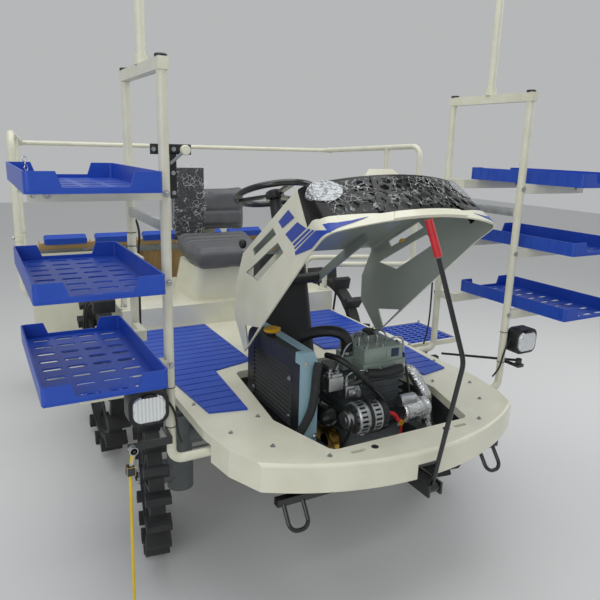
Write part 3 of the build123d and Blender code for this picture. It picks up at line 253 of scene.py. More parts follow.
def lens_finish():
    """Ribbed lamp lens over a silvered bowl: pale and bright, with upright optic ribs about 12 mm apart."""
    mat, tree, shader, where = start("ribbed lens over silvered bowl", "#E4E8E9", 0.18, Metallic=0.5,
                                     Coat_Weight=1.0)
    ribs = add(tree, "ShaderNodeTexWave", {"bands_direction": "X"}, {"Scale": 27}, {"Vector": where})
    bump = add(tree, "ShaderNodeBump", values={"Distance": 0.002}, links={"Height": ribs.outputs["Fac"]})
    tree.links.new(bump.outputs["Normal"], shader.inputs["Normal"])
    return mat


def headlamp_finish():
    """Silvered headlamp under crinkled film: a dark mirror broken into facets about 13 mm across."""
    mat, tree, shader, where = start("film-wrapped lamp bowl", "#8F9496", 0.2, Metallic=0.9, Coat_Weight=1.0,
                                     Coat_Roughness=0.06)
    crease(tree, shader, where, 75, 0.006)
    return mat


def hood_finish():
    """Cream outside and grey-green inside: faces that look to the hood's middle take the inner colour, a
    darker grey-green that is painted shade of the hood's shadowed inside.
    """
    mat, tree, shader, where = start("cream hood moulding with painted inside shade", CREAM, 0.28,
                                     Coat_Weight=0.25)
    outer = mottle(tree, shader, where, CREAM, CREAM_DUST, 7, 0.55)
    bumps(tree, shader, where, 260, 0.00012)
    middle = [v * MM for v in opened_place((0, -1000, 830))]
    inward = add(tree, "ShaderNodeVectorMath", {"operation": "SUBTRACT"}, {0: middle}, {1: where})
    facing = add(tree, "ShaderNodeTexCoord").outputs["Normal"]
    match = add(tree, "ShaderNodeVectorMath", {"operation": "DOT_PRODUCT"},
                links={0: facing, 1: inward.outputs[0]})
    inside_shade_mask = add(tree, "ShaderNodeMath", {"operation": "GREATER_THAN"}, {1: 0.0}, {0: match.outputs["Value"]})
    mix = add(tree, "ShaderNodeMix", {"data_type": "RGBA"}, {MIX_B: linear(HOOD_INSIDE_SHADE)},
              {MIX_FACTOR: inside_shade_mask.outputs[0], MIX_A: outer})
    tree.links.new(mix.outputs[MIX_RESULT], shader.inputs["Base Color"])
    return mat


foil = foil_finish()
# Both films show their creases as painted white glints
clear_film = film_finish("clear polythene film", 0.05, 0.85, 38)
nose_clear = film_finish("thin clear film on the nose", 0.01, 0.75, 44)
lens = lens_finish()
headlamp_bowl = headlamp_finish()
hood_cream = hood_finish()

NODE_FINISH = {
    "chassis_frame": chassis_black, "drive_case": cast_grey, "rear_axle": cast_grey, "front_deck": cream_abs,
    "rear_deck": cream_abs, "side_steps": cream_abs, "step_mats": blue_abs, "step_grids": blue_abs,
    "engine_block": engine_iron, "cylinder_head": cover_green, "alternator": cast_alu,
    "belt_drive": gold_plate,
    "radiator": black_abs, "radiator_frame": teal_paint, "radiator_hose": hose_rubber, "exhaust": foil,
    "dash_column": black_abs, "steering_wheel": black_gloss, "seat_base": cream_abs, "seat": seat_vinyl,
    "handrail": cream_paint, "rack_right": cream_paint, "rack_left": cream_paint, "trays_right": blue_abs,
    "trays_left": blue_abs, "work_lamps": black_abs, "lamp_lenses": lens, "front_fittings": black_gloss,
    "centre_marker_rod": black_gloss, "centre_marker_sleeve": red_sleeve, "side_marker_right": yellow_tube,
    "side_marker_left": black_gloss, "hood_shell": hood_cream, "hood_grille": grille_black,
    "headlamps": headlamp_bowl,
    "knuckle_right": cast_grey, "knuckle_left": cast_grey, "tie_rod": bright_steel,
    "lower_links": chassis_black,
    "upper_link": chassis_black, "lift_barrel": chassis_black, "lift_rod": bright_steel,
    "planter_frame": chassis_black, "planter_covers": cream_abs, "floats": cream_abs,
    "planting_cases": cast_grey,
    "planting_rotors": cast_alu, "seedling_table": tan_board, "table_caps": blue_abs, "table_rail": grey_abs,
    "front_tyre_right": tyre_rubber, "front_tyre_left": tyre_rubber, "rear_tyre_right": tyre_rubber,
    "rear_tyre_left": tyre_rubber, "front_rim_right": rim_coat, "front_rim_left": rim_coat,
    "rear_rim_right": rim_coat, "rear_rim_left": rim_coat,
}
for node_name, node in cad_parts.items():
    node.data.materials.clear()
    node.data.materials.append(NODE_FINISH[node_name])

# The photograph's camera: where it stands, where it looks, how far it leans, and its lens
camera_at = Vector((-1.293, -2.982, 1.681))
yaw, pitch, roll = math.radians(28.892), math.radians(14.308), math.radians(1.655)
forward = Vector((math.sin(yaw) * math.cos(pitch), math.cos(yaw) * math.cos(pitch), -math.sin(pitch)))
level = Vector((math.cos(yaw), -math.sin(yaw), 0))
upward = level.cross(forward)
across = level * math.cos(roll) + upward * math.sin(roll)
upright = upward * math.cos(roll) - level * math.sin(roll)
camera = put("photo_camera", bpy.data.cameras.new("photo_camera"))
camera.matrix_world = Matrix(
    [(across[i], upright[i], -forward[i], camera_at[i]) for i in range(3)] + [(0, 0, 0, 1)]
)
camera.data.sensor_width = 36
camera.data.lens = 36.21
camera.data.clip_end = 60
bpy.context.scene.camera = camera

# Floor and light: a pale studio floor, a soft overhead panel, a fill on either side and a dim world
FLOOR_HALF = 15
ground = bpy.data.meshes.new("studio_floor")
floor_corners = [(x * FLOOR_HALF, y * FLOOR_HALF, 0) for x, y in ((-1, -1), (1, -1), (1, 1), (-1, 1))]
ground.from_pydata(floor_corners, [], [(0, 1, 2, 3)])
ground.materials.append(start("pale studio floor", "#D9DADA", 0.85)[0])
floor = put("studio_floor", ground)

# Name, place, turn in degrees, size in metres and watts
LIGHTS = (
    ("overhead_panel", (0.0, -0.6, 4.6), (0, 0, 0), 4.2, 95),
    ("front_fill", (-3.6, -4.2, 2.6), (60, 0, -40), 2.6, 55),
    ("side_fill", (4.2, -1.2, 2.8), (62, 0, 80), 2.4, 30),
)
for light_name, place, turn, size, watts in LIGHTS:
    lamp_data = bpy.data.lights.new(light_name, "AREA")
    lamp_data.size = size
    lamp_data.energy = watts
    lamp = put(light_name, lamp_data)
    lamp.location = place
    lamp.rotation_euler = [math.radians(a) for a in turn]
world = bpy.data.worlds.new("studio")
world.use_nodes = True
sky = world.node_tree.nodes["Background"]
sky.inputs["Color"].default_value = linear("#EDEFF0")
sky.inputs["Strength"].default_value = 0.55
bpy.context.scene.world = world
bpy.context.scene.view_settings.view_transform = "Standard"


# Helpers for shapes, with places in millimetres

def piece(name, bm, mat, body, smooth=True):
    """Turn a bmesh drawn in millimetres into an object that rides on a body."""
    bmesh.ops.recalc_face_normals(bm, faces=bm.faces)
    mesh = bpy.data.meshes.new(name)
    bm.to_mesh(mesh)
    bm.free()
    mesh.transform(Matrix.Scale(MM, 4))
    return settle(name, mesh, mat, body, smooth)


def settle(name, mesh, mat, body, smooth=True):
    """Make a mesh in metres an object that rides on a body, with edges over 35 degrees left sharp."""
    if mat is not None:
        mesh.materials.clear()
        mesh.materials.append(mat)
    mesh.polygons.foreach_set("use_smooth", [smooth] * len(mesh.polygons))
    if smooth:
        mesh.set_sharp_from_angle(angle=math.radians(35))
    thing = put(name, mesh)
    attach(thing, body)
    return thing


def add_box(bm, x, y, z, round_by=0.0):
    """Add a box from its low and high values along each axis, with rounded edges."""
    sides = [sorted(pair) for pair in (x, y, z)]
    middle = Vector([sum(pair) / 2 for pair in sides])
    size = [pair[1] - pair[0] for pair in sides]
    place = Matrix.Translation(middle) @ Matrix.Diagonal((*size, 1))
    made = bmesh.ops.create_cube(bm, size=1.0, matrix=place)
    if round_by:
        edges = list({edge for vert in made["verts"] for edge in vert.link_edges})
        bmesh.ops.bevel(bm, geom=edges, offset=round_by, segments=2, affect="EDGES", profile=0.5)


def add_turned(bm, centre, axis, profile, around=24):
    """Add a turned shape: profile lists radius and height along axis from centre, from end to end."""
    way = Vector(axis).normalized()
    side = way.orthogonal().normalized()
    other = way.cross(side)
    rings = []
    for radius, height in profile:
        at = Vector(centre) + way * height
        if radius < 0.01:
            rings.append([bm.verts.new(at)])
            continue
        angles = [2 * math.pi * k / around for k in range(around)]
        rings.append([bm.verts.new(at + (side * math.cos(a) + other * math.sin(a)) * radius) for a in angles])
    for low, high in zip(rings, rings[1:]):
        for k in range(around):
            corners = [low[k % len(low)], low[(k + 1) % len(low)]]
            corners += [high[(k + 1) % len(high)], high[k % len(high)]]
            corners = list(dict.fromkeys(corners))
            if len(corners) > 2:
                bm.faces.new(corners)
    for ring in (rings[0], rings[-1]):
        if len(ring) > 2:
            bm.faces.new(ring)


def add_run(bm, route, diameter, closed=False):
    """Add a smooth round tube, wire or hose that is fixed along the points of its route."""
    line = bpy.data.curves.new("run", "CURVE")
    line.dimensions = "3D"
    line.bevel_depth = diameter / 2
    line.bevel_resolution = 2
    line.use_fill_caps = not closed
    spline = line.splines.new("NURBS")
    spline.points.add(len(route) - 1)
    for point, place in zip(spline.points, route):
        point.co = (*place, 1)
    spline.order_u = 3
    spline.use_endpoint_u = not closed
    spline.use_cyclic_u = closed
    spline.resolution_u = 5
    holder = put("run", line)
    mesh = baked(holder)
    bm.from_mesh(mesh)
    bpy.data.objects.remove(holder)
    bpy.data.meshes.remove(mesh)
    bpy.data.curves.remove(line)


def boxes(name, table, mat, body, round_by=2.0):
    """One piece from several boxes."""
    bm = bmesh.new()
    for x, y, z in table:
        add_box(bm, x, y, z, round_by)
    return piece(name, bm, mat, body)


def runs(name, table, mat, body):
    """One piece from several tubes, each a diameter and its route."""
    bm = bmesh.new()
    for diameter, route in table:
        add_run(bm, route, diameter)
    return piece(name, bm, mat, body)


def turned(name, table, mat, body, around=24):
    """One piece from several turned shapes."""
    bm = bmesh.new()
    for centre, axis, profile in table:
        add_turned(bm, centre, axis, profile, around)
    return piece(name, bm, mat, body)


def repeat_tree():
    """Geometry Nodes: one copy of a shape on every point, turned along the point's own direction."""
    tree = bpy.data.node_groups.new("repeat on points", "GeometryNodeTree")
    for label, way, kind in (
        ("Points", "INPUT", "NodeSocketGeometry"),
        ("Shape", "INPUT", "NodeSocketObject"),
        ("Size", "INPUT", "NodeSocketFloat"),
        ("Finish", "INPUT", "NodeSocketMaterial"),
        ("Result", "OUTPUT", "NodeSocketGeometry"),
    ):
        tree.interface.new_socket(name=label, in_out=way, socket_type=kind)
    given = add(tree, "NodeGroupInput")
    shape = add(tree, "GeometryNodeObjectInfo", links={"Object": given.outputs["Shape"]})
    facing = add(tree, "GeometryNodeInputNamedAttribute", {"data_type": "FLOAT_VECTOR"}, {"Name": "facing"})
    turn = add(tree, "FunctionNodeAlignRotationToVector", {"axis": "Z"}, links={"Vector": facing.outputs[0]})
    copies = add(tree, "GeometryNodeInstanceOnPoints", links={
        "Points": given.outputs["Points"],
        "Instance": shape.outputs["Geometry"],
        "Rotation": turn.outputs[0],
        "Scale": given.outputs["Size"],
    })
    real = add(tree, "GeometryNodeRealizeInstances", links={"Geometry": copies.outputs[0]})
    coated = add(tree, "GeometryNodeSetMaterial",
                 links={"Geometry": real.outputs[0], "Material": given.outputs["Finish"]})
    add(tree, "NodeGroupOutput", links={"Result": coated.outputs[0]})
    return tree


REPEAT = repeat_tree()


def repeat(name, shape, sites, mat, body):
    """Copies of one bmesh shape, drawn along +Z in millimetres, at sites of place and direction."""
    pattern = bpy.data.meshes.new(name + "_shape")
    shape.to_mesh(pattern)
    shape.free()
    pattern.transform(Matrix.Scale(MM, 4))
    model = put(name + "_shape", pattern)
    points = bpy.data.meshes.new(name)
    points.from_pydata([Vector(place) * MM for place, way in sites], [], [])
    facing = points.attributes.new("facing", "FLOAT_VECTOR", "POINT")
    facing.data.foreach_set("vector", [v for place, way in sites for v in way])
    holder = put(name, points)
    mod = holder.modifiers.new("repeat", "NODES")
    mod.node_group = REPEAT
    sockets = {item.name: item.identifier for item in REPEAT.interface.items_tree if item.in_out == "INPUT"}
    mod[sockets["Shape"]] = model
    mod[sockets["Size"]] = 1.0
    mod[sockets["Finish"]] = mat
    bpy.context.view_layer.update()
    mesh = baked(holder)
    bpy.data.objects.remove(holder)
    bpy.data.objects.remove(model)
    bpy.data.meshes.remove(points)
    bpy.data.meshes.remove(pattern)
    return settle(name, mesh, None, body)


def hex_bolt(across):
    """A hexagon head with a chamfered top, its foot sunk a little in its washer."""
    washer_r, corner_r, top_r = across * 0.95, across * 0.577, across * 0.46
    washer_top, head_foot = 1.6, 1.4
    chamfer_from, head_tall = 5.4, 6.6
    bm = bmesh.new()
    add_turned(bm, (0, 0, 0), UP, ((washer_r, 0), (washer_r, washer_top), (across * 0.6, washer_top)), 20)
    add_turned(bm, (0, 0, head_foot), UP, ((corner_r, 0), (corner_r, chamfer_from), (top_r, head_tall)), 6)
    bmesh.ops.recalc_face_normals(bm, faces=bm.faces)
    return bm


def tree_of(node):
    """A search tree over a CAD node's surface."""
    bm = bmesh.new()
    bm.from_mesh(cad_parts[node].data)
    found = BVHTree.FromBMesh(bm)
    bm.free()
    return found


# A pressed-on film's thickness and the mesh it is cut into, in millimetres
DECAL_THICK = 0.5
DECAL_MESH = 14.0
# How far off the surface its search starts and how far it goes, in metres
SEARCH_FROM, SEARCH_REACH = 0.5, 0.75


def decal(name, outline, along, surface, mat, body, lift=0.9):
    """A thin film cut to an outline, pressed on to a surface along a direction, both faces of it closed."""
    bm = bmesh.new()
    way = Vector(along).normalized()
    verts = [bm.verts.new(place) for place in outline]
    bm.faces.new(verts)
    side = way.orthogonal().normalized()
    other = way.cross(side)
    for across in (side, other):
        reach = [v.co.dot(across) for v in verts]
        cut = min(reach) + DECAL_MESH
        while cut < max(reach):
            geom = list(bm.verts) + list(bm.edges) + list(bm.faces)
            bmesh.ops.bisect_plane(bm, geom=geom, plane_co=across * cut, plane_no=across)
            cut += DECAL_MESH
    bmesh.ops.triangulate(bm, faces=bm.faces)
    missed = []
    for vert in bm.verts:
        hit = surface.ray_cast(vert.co * MM - way * SEARCH_FROM, way, SEARCH_REACH)[0]
        if hit is None:
            missed.append(vert)
        else:
            vert.co = hit / MM - way * lift
    bmesh.ops.delete(bm, geom=missed, context="VERTS")
    bmesh.ops.solidify(bm, geom=list(bm.faces), thickness=DECAL_THICK)
    return piece(name, bm, mat, body)


# Finishes of the fitted pieces

# Flat deep blue stripes pressed on to the panel, even and a little glossy
blue_film = finish("royal blue printed vinyl", "#12389E", "#1A44AC", 0.3, 10, 0.4, 900, 0.00003)
# Painted shade: black for the alternator's shadowed cooling slots, glossy enough to catch the lights
painted_slot_shade = finish("black painted slot shade", "#0E0F10", "#17191A", 0.2, 10, 0.5, 900, 0.00003)
# Warm yellow cap and clips with a soft shine
yellow_cap = finish("yellow moulded cap", "#D8A516", "#B98A10", 0.4, 40, 0.5, 900, 0.0001)
# Bright red rubber boot on the terminal
red_boot = finish("red moulded terminal boot", "#D8222A", "#B81A22", 0.35, 60, 0.5, 900, 0.0001)
# Silvery lamp bowls and dial rims, bright from every side
chrome = finish("vacuum metallised reflector", "#F0F2F2", "#DADEDF", 0.3, 60, 0.4, 300, 0.0004, Metallic=0.55)
# Plain dark blue square on the cover
navy_plate = finish("dark blue lacquered plate", "#1B2A4A", "#22345A", 0.3, 20, 0.4, 900, 0.00003)
# Dull black belt with a worn grey edge
belt_rubber = finish("moulded belt rubber", "#151617", "#242526", 0.6, 60, 0.5, 900, 0.0002)
# Black sleeves on wires and ties, faintly shiny
wire_skin = finish("black PVC wire sleeve", "#121314", "#232425", 0.45, 60, 0.5, 1200, 0.0002)
# Matt grey-green of the hood's inside: painted shade of its shadowed inner face
inside_shade = finish("grey-green painted hood inside shade", HOOD_INSIDE_SHADE, "#88908A", 0.5, 10, 0.5, 500, 0.0002)

# The closed nose is an arc in plan that narrows, flattens and leans back towards its top
NOSE_FOOT_Z, NOSE_TALL = 716, 356
NOSE_HALF, NOSE_NARROWS = 360, 26
NOSE_SAG, NOSE_FLATTENS = 79, 8
NOSE_FRONT_Y, NOSE_LEANS = -1541, 118


def nose_y(x, z):
    """The closed nose's outer face over a point of its front view."""
    rise = (z - NOSE_FOOT_Z) / NOSE_TALL
    half = NOSE_HALF - NOSE_NARROWS * rise
    sag = NOSE_SAG - NOSE_FLATTENS * rise
    radius = (half * half + sag * sag) / (2 * sag)
    return NOSE_FRONT_Y + NOSE_LEANS * rise + radius - math.sqrt(radius * radius - x * x)


# Hood: stripes on both sides, with outlines in y and z of the closed hood
shell = tree_of("hood_shell")
STRIPES = (
    ("stripe_front", ((-1264, 959), (-1291, 910), (-1189, 933), (-1173, 971))),
    ("stripe_middle", ((-1302, 885), (-1348, 831), (-1229, 851), (-1200, 902))),
    ("stripe_line", ((-1362, 822), (-1372, 811), (-1239, 832), (-1232, 843))),
    ("stripe_line_low", ((-1384, 804), (-1392, 795), (-1240, 818), (-1236, 826))),
    ("stripe_rear", ((-1402, 790), (-1462, 752), (-1346, 757), (-1232, 800), (-1234, 812))),
)
# The tail's outline in x and z: it tapers off towards the nose's middle
STRIPE_TAIL = ((345, 792), (315, 778), (272, 773), (216, 774), (266, 764), (313, 758), (345, 750))
TAIL_LIFT = 1.6
BESIDE_HOOD_X = 500
NOSE_CORNER_X = 330
for side_name, side in SIDES:
    for stripe_name, outline in STRIPES:
        decal(f"{stripe_name}_{side_name}", [opened_place((side * BESIDE_HOOD_X, y, z)) for y, z in outline],
              (-side, 0, 0), shell, blue_film, "hood")
    # The lowest stripe runs on round the corner and tapers off under the grille
    decal(f"stripe_tail_{side_name}", [
        opened_place((side * x, nose_y(NOSE_CORNER_X, z), z)) for x, z in STRIPE_TAIL
    ], HOOD_BACKWARD, shell, blue_film, "hood", TAIL_LIFT)


def film_over(name, place_of, mat, body, puff):
    """A crinkled sheet of film: place_of gives its smooth place, and noise lifts its folds by up to puff."""
    rows, cols = 60, 110
    stands_off, folds_per_mm, fold_gain = 2, 0.018, 0.45
    bm = bmesh.new()
    grid = []
    for r in range(rows + 1):
        for c in range(cols + 1):
            place, away = place_of(c / cols - 0.5, r / rows - 0.5)
            fold = noise.ridged_multi_fractal(Vector(place) * folds_per_mm, 0.9, 2.1, 4, 1.0, 2.0)
            lift = stands_off + puff * min(max(fold * fold_gain, 0), 1)
            grid.append(bm.verts.new(Vector(place) + Vector(away) * lift))
    for r in range(rows):
        for c in range(cols):
            k = r * (cols + 1) + c
            bm.faces.new((grid[k], grid[k + 1], grid[k + cols + 2], grid[k + cols + 1]))
    return piece(name, bm, mat, body)


def over_nose(u, v):
    """A place on the open hood's nose and the way off it; u and v run from -0.5 to 0.5 across and up."""
    wide, tall, middle_z = 620, 150, 872
    x, z = u * wide, middle_z + v * tall
    return opened_place((x, nose_y(x, z) - 1, z)), -HOOD_BACKWARD


nose_film = film_over("nose_film", over_nose, nose_clear, "hood", 5)


def hood_boxes(name, table, mat):
    """One piece from boxes drawn on the closed hood and turned open with it."""
    bm = bmesh.new()
    for x, y, z in table:
        add_box(bm, x, y, z, 1.5)
    for vert in bm.verts:
        vert.co = opened_place(vert.co)
    return piece(name, bm, mat, "hood")


# Hood: ribs and clips inside it, each box by its low and high x, y and z
# The ribs take the same grey-green painted shade as the hood's inside
hood_boxes("hood_ribs", [
    ((-300, 300), (-1300, -1294), (925, 960)),
    ((-290, 290), (-1206, -1200), (972, 990)),
    ((-103, -98), (-1300, -1206), (945, 980)),
    ((98, 103), (-1300, -1206), (945, 980)),
], inside_shade)
hood_boxes("hood_clips", [
    ((side * 296, side * 318), (y - 9, y + 9), (z, z + 8))
    for side in (-1, 1) for y, z in ((-1390, 900), (-1240, 922), (-1010, 955))
], yellow_cap)

# Painted shade: dark sheets at the sides of the engine bay and a pan under the engine stand in for the shadow
# in the bay and close it off from the floor below
boxes("bay_panels", [
    (sorted((side * 388, side * 396)), (-1400, -700), (520, 664)) for side in (-1, 1)
] + [((-240, 370), (-1250, -770), (455, 459))], chassis_black, "chassis", 1)

# Radiator: cap with its wings, foam strip over the bracket and its screws
CAP_X, CAP_Y, CAP_Z = -268, -900, 958
BRACKET_FRONT_Y, BRACKET_SIDE_X = -1222.5, -300.5
turned("radiator_cap", [
    ((CAP_X, CAP_Y, CAP_Z), UP, ((24, 0), (33, 1), (34, 9), (30, 14), (12, 16), (0, 16))),
], yellow_cap, "chassis")
boxes("radiator_cap_wings", [
    ((CAP_X - 36, CAP_X + 36), (CAP_Y - 7, CAP_Y + 7), (CAP_Z + 4, CAP_Z + 13)),
], yellow_cap, "chassis")
runs("radiator_strip", [
    (32, ((-246, -1236, 930), (-254, -1236, 900), (-256, -1236, 840), (-263, -1235, 765), (-288, -1234, 706),
          (-322, -1230, 655))),
], hose_rubber, "chassis")
repeat("radiator_screws", hex_bolt(11), [
    ((x, BRACKET_FRONT_Y, z), AHEAD) for x, z in ((-244, 862), (-244, 640), (-292, 930))
] + [
    ((BRACKET_SIDE_X, y, z), (-1, 0, 0)) for y, z in ((-1120, 840), (-1120, 690), (-800, 690))
], bright_steel, "chassis")

# Engine: hoses, clamps, covers, pipes and the parts bolted on its sides
COVER_TOP_Z, COVER_FRONT_Y = 926.5, -1185.5
BLOCK_FRONT_Y, BLOCK_SIDE_X = -1210.5, -90.5
PUMP_Y = -1176
coolant_hose = runs("coolant_hose", [
    (46, ((-236, -940, 906), (-190, -945, 915), (-150, -985, 960), (-80, -1060, 985), (-30, -1085, 960),
          (-25, -1080, 900), (-25, -1078, 882))),
], hose_rubber, "chassis")
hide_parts("radiator_hose")
HOSE_CLAMP = ((24, 0), (26.5, 0), (26.5, 12), (24, 12))
turned("hose_clamps", [
    ((-25, -1075, 886), UP, HOSE_CLAMP),
    ((-232, -940, 906), LEFTWARD, HOSE_CLAMP),
], bright_steel, "chassis", 32)
boxes("cover_panels", [
    (across_x, (-1178, -1174), (876, 919)) for across_x in ((-6, 96), (98, 118))
], cover_green, "chassis", 1)
boxes("cover_plate_dark", [((124, 160), (-1177, -1175), (882, 916))], navy_plate, "chassis", 0.5)
repeat("cover_bolts", hex_bolt(10), [
    ((x, y, COVER_TOP_Z), UP) for x in (12, 90, 172) for y in (-1160, -996)
] + [((x, COVER_FRONT_Y, 844), AHEAD) for x in (6, 70, 134, 180)], bright_steel, "chassis")
turned("oil_filler", [
    ((90, -1060, 948), UP, ((20, 0), (27, 2), (27, 16), (23, 20), (0, 20))),
], black_abs, "chassis", 12)
# Each injector's pipe in x at its front, middle and back: the four draw closer together on the way
INJECTOR_Y = -1112
INJECTORS = [(10 + 44 * k, 8 + 42 * k, 14 + 36 * k) for k in range(4)]
runs("injector_pipes", [
    (7, ((front, INJECTOR_Y, 942), (front, -1106, 962), (middle, -1060, 964), (back, -1024, 946),
         (back, -1018, 918)))
    for front, middle, back in INJECTORS
], bright_steel, "chassis")
turned("injectors", [
    ((front, INJECTOR_Y, 926), UP, ((9, 0), (9, 10), (6, 12), (6, 22), (0, 22)))
    for front, middle, back in INJECTORS
], bright_steel, "chassis", 12)
runs("intake_runner", [
    (40, ((0, -1196, 838), (40, -1214, 836), (100, -1216, 838), (150, -1206, 840))),
    (26, ((-60, -1180, 800), (-30, -1210, 812), (0, -1198, 836))),
], hose_rubber, "chassis")
runs("long_hose", [
    (24, ((-130, -1100, 900), (-128, -1160, 915), (-80, -1206, 880), (10, -1214, 792), (66, -1216, 732),
          (84, -1190, 690))),
], hose_rubber, "chassis")
boxes("fuel_pump", [
    ((-176, -110), (-1200, -1150), (790, 846)), ((-168, -120), (-1206, -1198), (846, 862)),
    ((-100, -24), (-1200, -1150), (746, 800)), ((-96, -60), (-1216, -1200), (764, 792)),
], cast_alu, "chassis", 5)
turned("pump_parts", [
    ((-160, PUMP_Y, 846), UP, ((14, 0), (14, 14), (10, 18), (10, 30), (0, 30))),
    ((-126, PUMP_Y, 846), UP, ((12, 0), (12, 10), (8, 14), (8, 22), (0, 22))),
    ((-60, -1200, 772), AHEAD, ((22, 0), (22, 10), (15, 14), (15, 22), (0, 22))),
    ((-84, PUMP_Y, 800), UP, ((11, 0), (11, 16), (7, 20), (7, 34), (0, 34))),
    ((-42, PUMP_Y, 800), UP, ((10, 0), (10, 12), (6, 16), (6, 26), (0, 26))),
], bright_steel, "chassis", 14)
turned("oil_filter", [
    ((-176, -1150, 700), AHEAD, ((30, 0), (38, 4), (38, 64), (34, 72), (20, 76), (0, 76))),
], black_gloss, "chassis", 24)
repeat("engine_bolts", hex_bolt(12), [
    ((x, BLOCK_FRONT_Y, z), AHEAD) for x, z in ((-70, 620), (-20, 600), (40, 620), (100, 610), (160, 600))
] + [
    ((BLOCK_SIDE_X, y, z), (-1, 0, 0)) for y, z in ((-1160, 660), (-1040, 720), (-1120, 780))
], bright_steel, "chassis")

# Alternator: its two bands, and the cooling slots round them drawn as black boxes of painted shade
ALTERNATOR_Y, ALTERNATOR_Z = -1265, 700
SLOTS, SLOT_RING_R = 22, 61.6
SLOT_SIZE = (24, 8, 2)
turned("alternator_bands", [
    ((-62, ALTERNATOR_Y, ALTERNATOR_Z), LEFTWARD, ((60, 0), (64, 0), (64, 15), (60, 15))),
    ((0.5, ALTERNATOR_Y, ALTERNATOR_Z), LEFTWARD, ((52, 0), (56, 3), (56, 24), (48, 32), (0, 34))),
], black_abs, "chassis", 36)
# Each slot is a thin black box on the housing, painted shade standing in for its dark opening
slots = bmesh.new()
for slot_x in (-88, -27):
    centre = Matrix.Translation((slot_x, ALTERNATOR_Y, ALTERNATOR_Z))
    for k in range(SLOTS):
        around = Matrix.Rotation(2 * math.pi * k / SLOTS, 4, "X") @ Matrix.Translation((0, 0, SLOT_RING_R))
        bmesh.ops.create_cube(slots, size=1.0, matrix=centre @ around @ Matrix.Diagonal((*SLOT_SIZE, 1)))
piece("alternator_slots", slots, painted_slot_shade, "chassis", False)
runs("terminal_boot", [
    (16, ((34, -1276, 706), (56, -1284, 700), (78, -1286, 688), (92, -1284, 664), (112, -1280, 650))),
    (9, ((112, -1280, 650), (120, -1278, 640), (118, -1276, 610), (112, -1270, 570))),
], red_boot, "chassis")
turned("terminal_ring", [
    ((108, -1290, 650), (0, 1, 0), ((4, 0), (11, 0), (11, 6), (4, 6), (4, 0))),
], yellow_cap, "chassis", 18)

# Starter and exhaust: bands and solenoid of the starter, and bands and a tie round the foil
STARTER_Y, STARTER_Z = -1262, 682
turned("starter_bands", [
    ((128, STARTER_Y, STARTER_Z), LEFTWARD, ((42, 0), (45, 0), (45, 8), (42, 8))),
    ((210, STARTER_Y, STARTER_Z), LEFTWARD, ((42, 0), (46, 0), (46, 10), (30, 14), (0, 14))),
    ((110, STARTER_Y, 730), LEFTWARD, ((20, 0), (24, 3), (24, 70), (20, 76), (0, 76))),
], cast_alu, "chassis", 28)
runs("foil_tie", [(4, ((274, -1180, 690), (300, -1196, 700), (318, -1222, 697)))], black_abs, "chassis")
turned("foil_clamps", [
    (place, (1, -0.6, 0.2), ((24, 0), (28, 0), (28, 10), (24, 10)))
    for place in ((206, -1096, 782), (226, -1110, 787))
], bright_steel, "chassis", 28)

# Wires and thin pipes of the engine bay, each a diameter and its route
runs("engine_wires", [
    (8, ((-40, -1176, 824), (-46, -1230, 790), (-52, -1262, 770), (-30, -1290, 765), (14, -1290, 735))),
    (7, ((-20, -1176, 812), (30, -1236, 770), (40, -1270, 745), (34, -1276, 720))),
    (9, ((180, -1130, 930), (206, -1140, 900), (212, -1160, 830), (190, -1212, 770), (176, -1240, 745))),
    (9, ((190, -1060, 900), (216, -1090, 880), (220, -1130, 840), (214, -1180, 790))),
    (10, ((-160, -1010, 720), (-176, -1100, 690), (-150, -1180, 640), (-40, -1214, 600), (90, -1220, 590),
          (180, -1210, 640))),
    (8, ((-210, -760, 900), (-200, -900, 880), (-186, -1000, 900), (-170, -1090, 880), (-150, -1150, 850))),
    (7, ((60, -1190, 640), (70, -1236, 620), (110, -1250, 640), (130, -1240, 660))),
], wire_skin, "chassis")
runs("bright_lines", [
    (8, ((150, -1120, 934), (176, -1150, 960), (204, -1150, 930), (206, -1146, 880))),
    (7, ((-120, -1160, 862), (-90, -1150, 900), (-60, -1120, 930), (-20, -1100, 936))),
    (6, ((-84, -1176, 830), (-70, -1190, 856), (-10, -1190, 852), (20, -1186, 830))),
], bright_steel, "chassis")

# Fan belt: its route in y and z over the alternator's, tensioner's and crankshaft's pulleys
BELT_X, BELT_WIDE = -132, 13
belt = bmesh.new()
add_run(belt, [
    (BELT_X, y, z) for y, z in (
        (-1224, 724), (-1265, 736), (-1304, 700), (-1290, 660),
        (-1204, 498), (-1140, 490), (-1074, 560), (-1110, 620),
    )
], BELT_WIDE, closed=True)
piece("fan_belt", belt, belt_rubber, "chassis")
turned("crank_pulley_rings", [
    ((-150, -1140, 560), LEFTWARD, ((30, 0), (58, 0), (60, 2), (60, 4), (34, 4), (30, 0))),
], gold_plate, "chassis", 36)

# Work lamps: a dished bowl with its bulb behind each lens, and the bezel round it
LAMP_X, LAMP_Z = 850, 860
for side_name, side in SIDES:
    x = side * LAMP_X
    turned(f"lamp_bowl_{side_name}", [
        ((x, -1210.6, LAMP_Z), AHEAD, ((0, 0), (20, 0.6), (34, 2), (43, 5), (44, 6))),
        ((x, -1211, LAMP_Z), AHEAD, ((9, 0), (9, 5), (6, 8), (0, 9))),
    ], chrome, "chassis", 32)
    turned(f"lamp_bezel_{side_name}", [
        ((x, -1208, LAMP_Z), AHEAD, ((46, 0), (52, 0), (50, 12), (46, 13))),
    ], black_gloss, "chassis", 40)

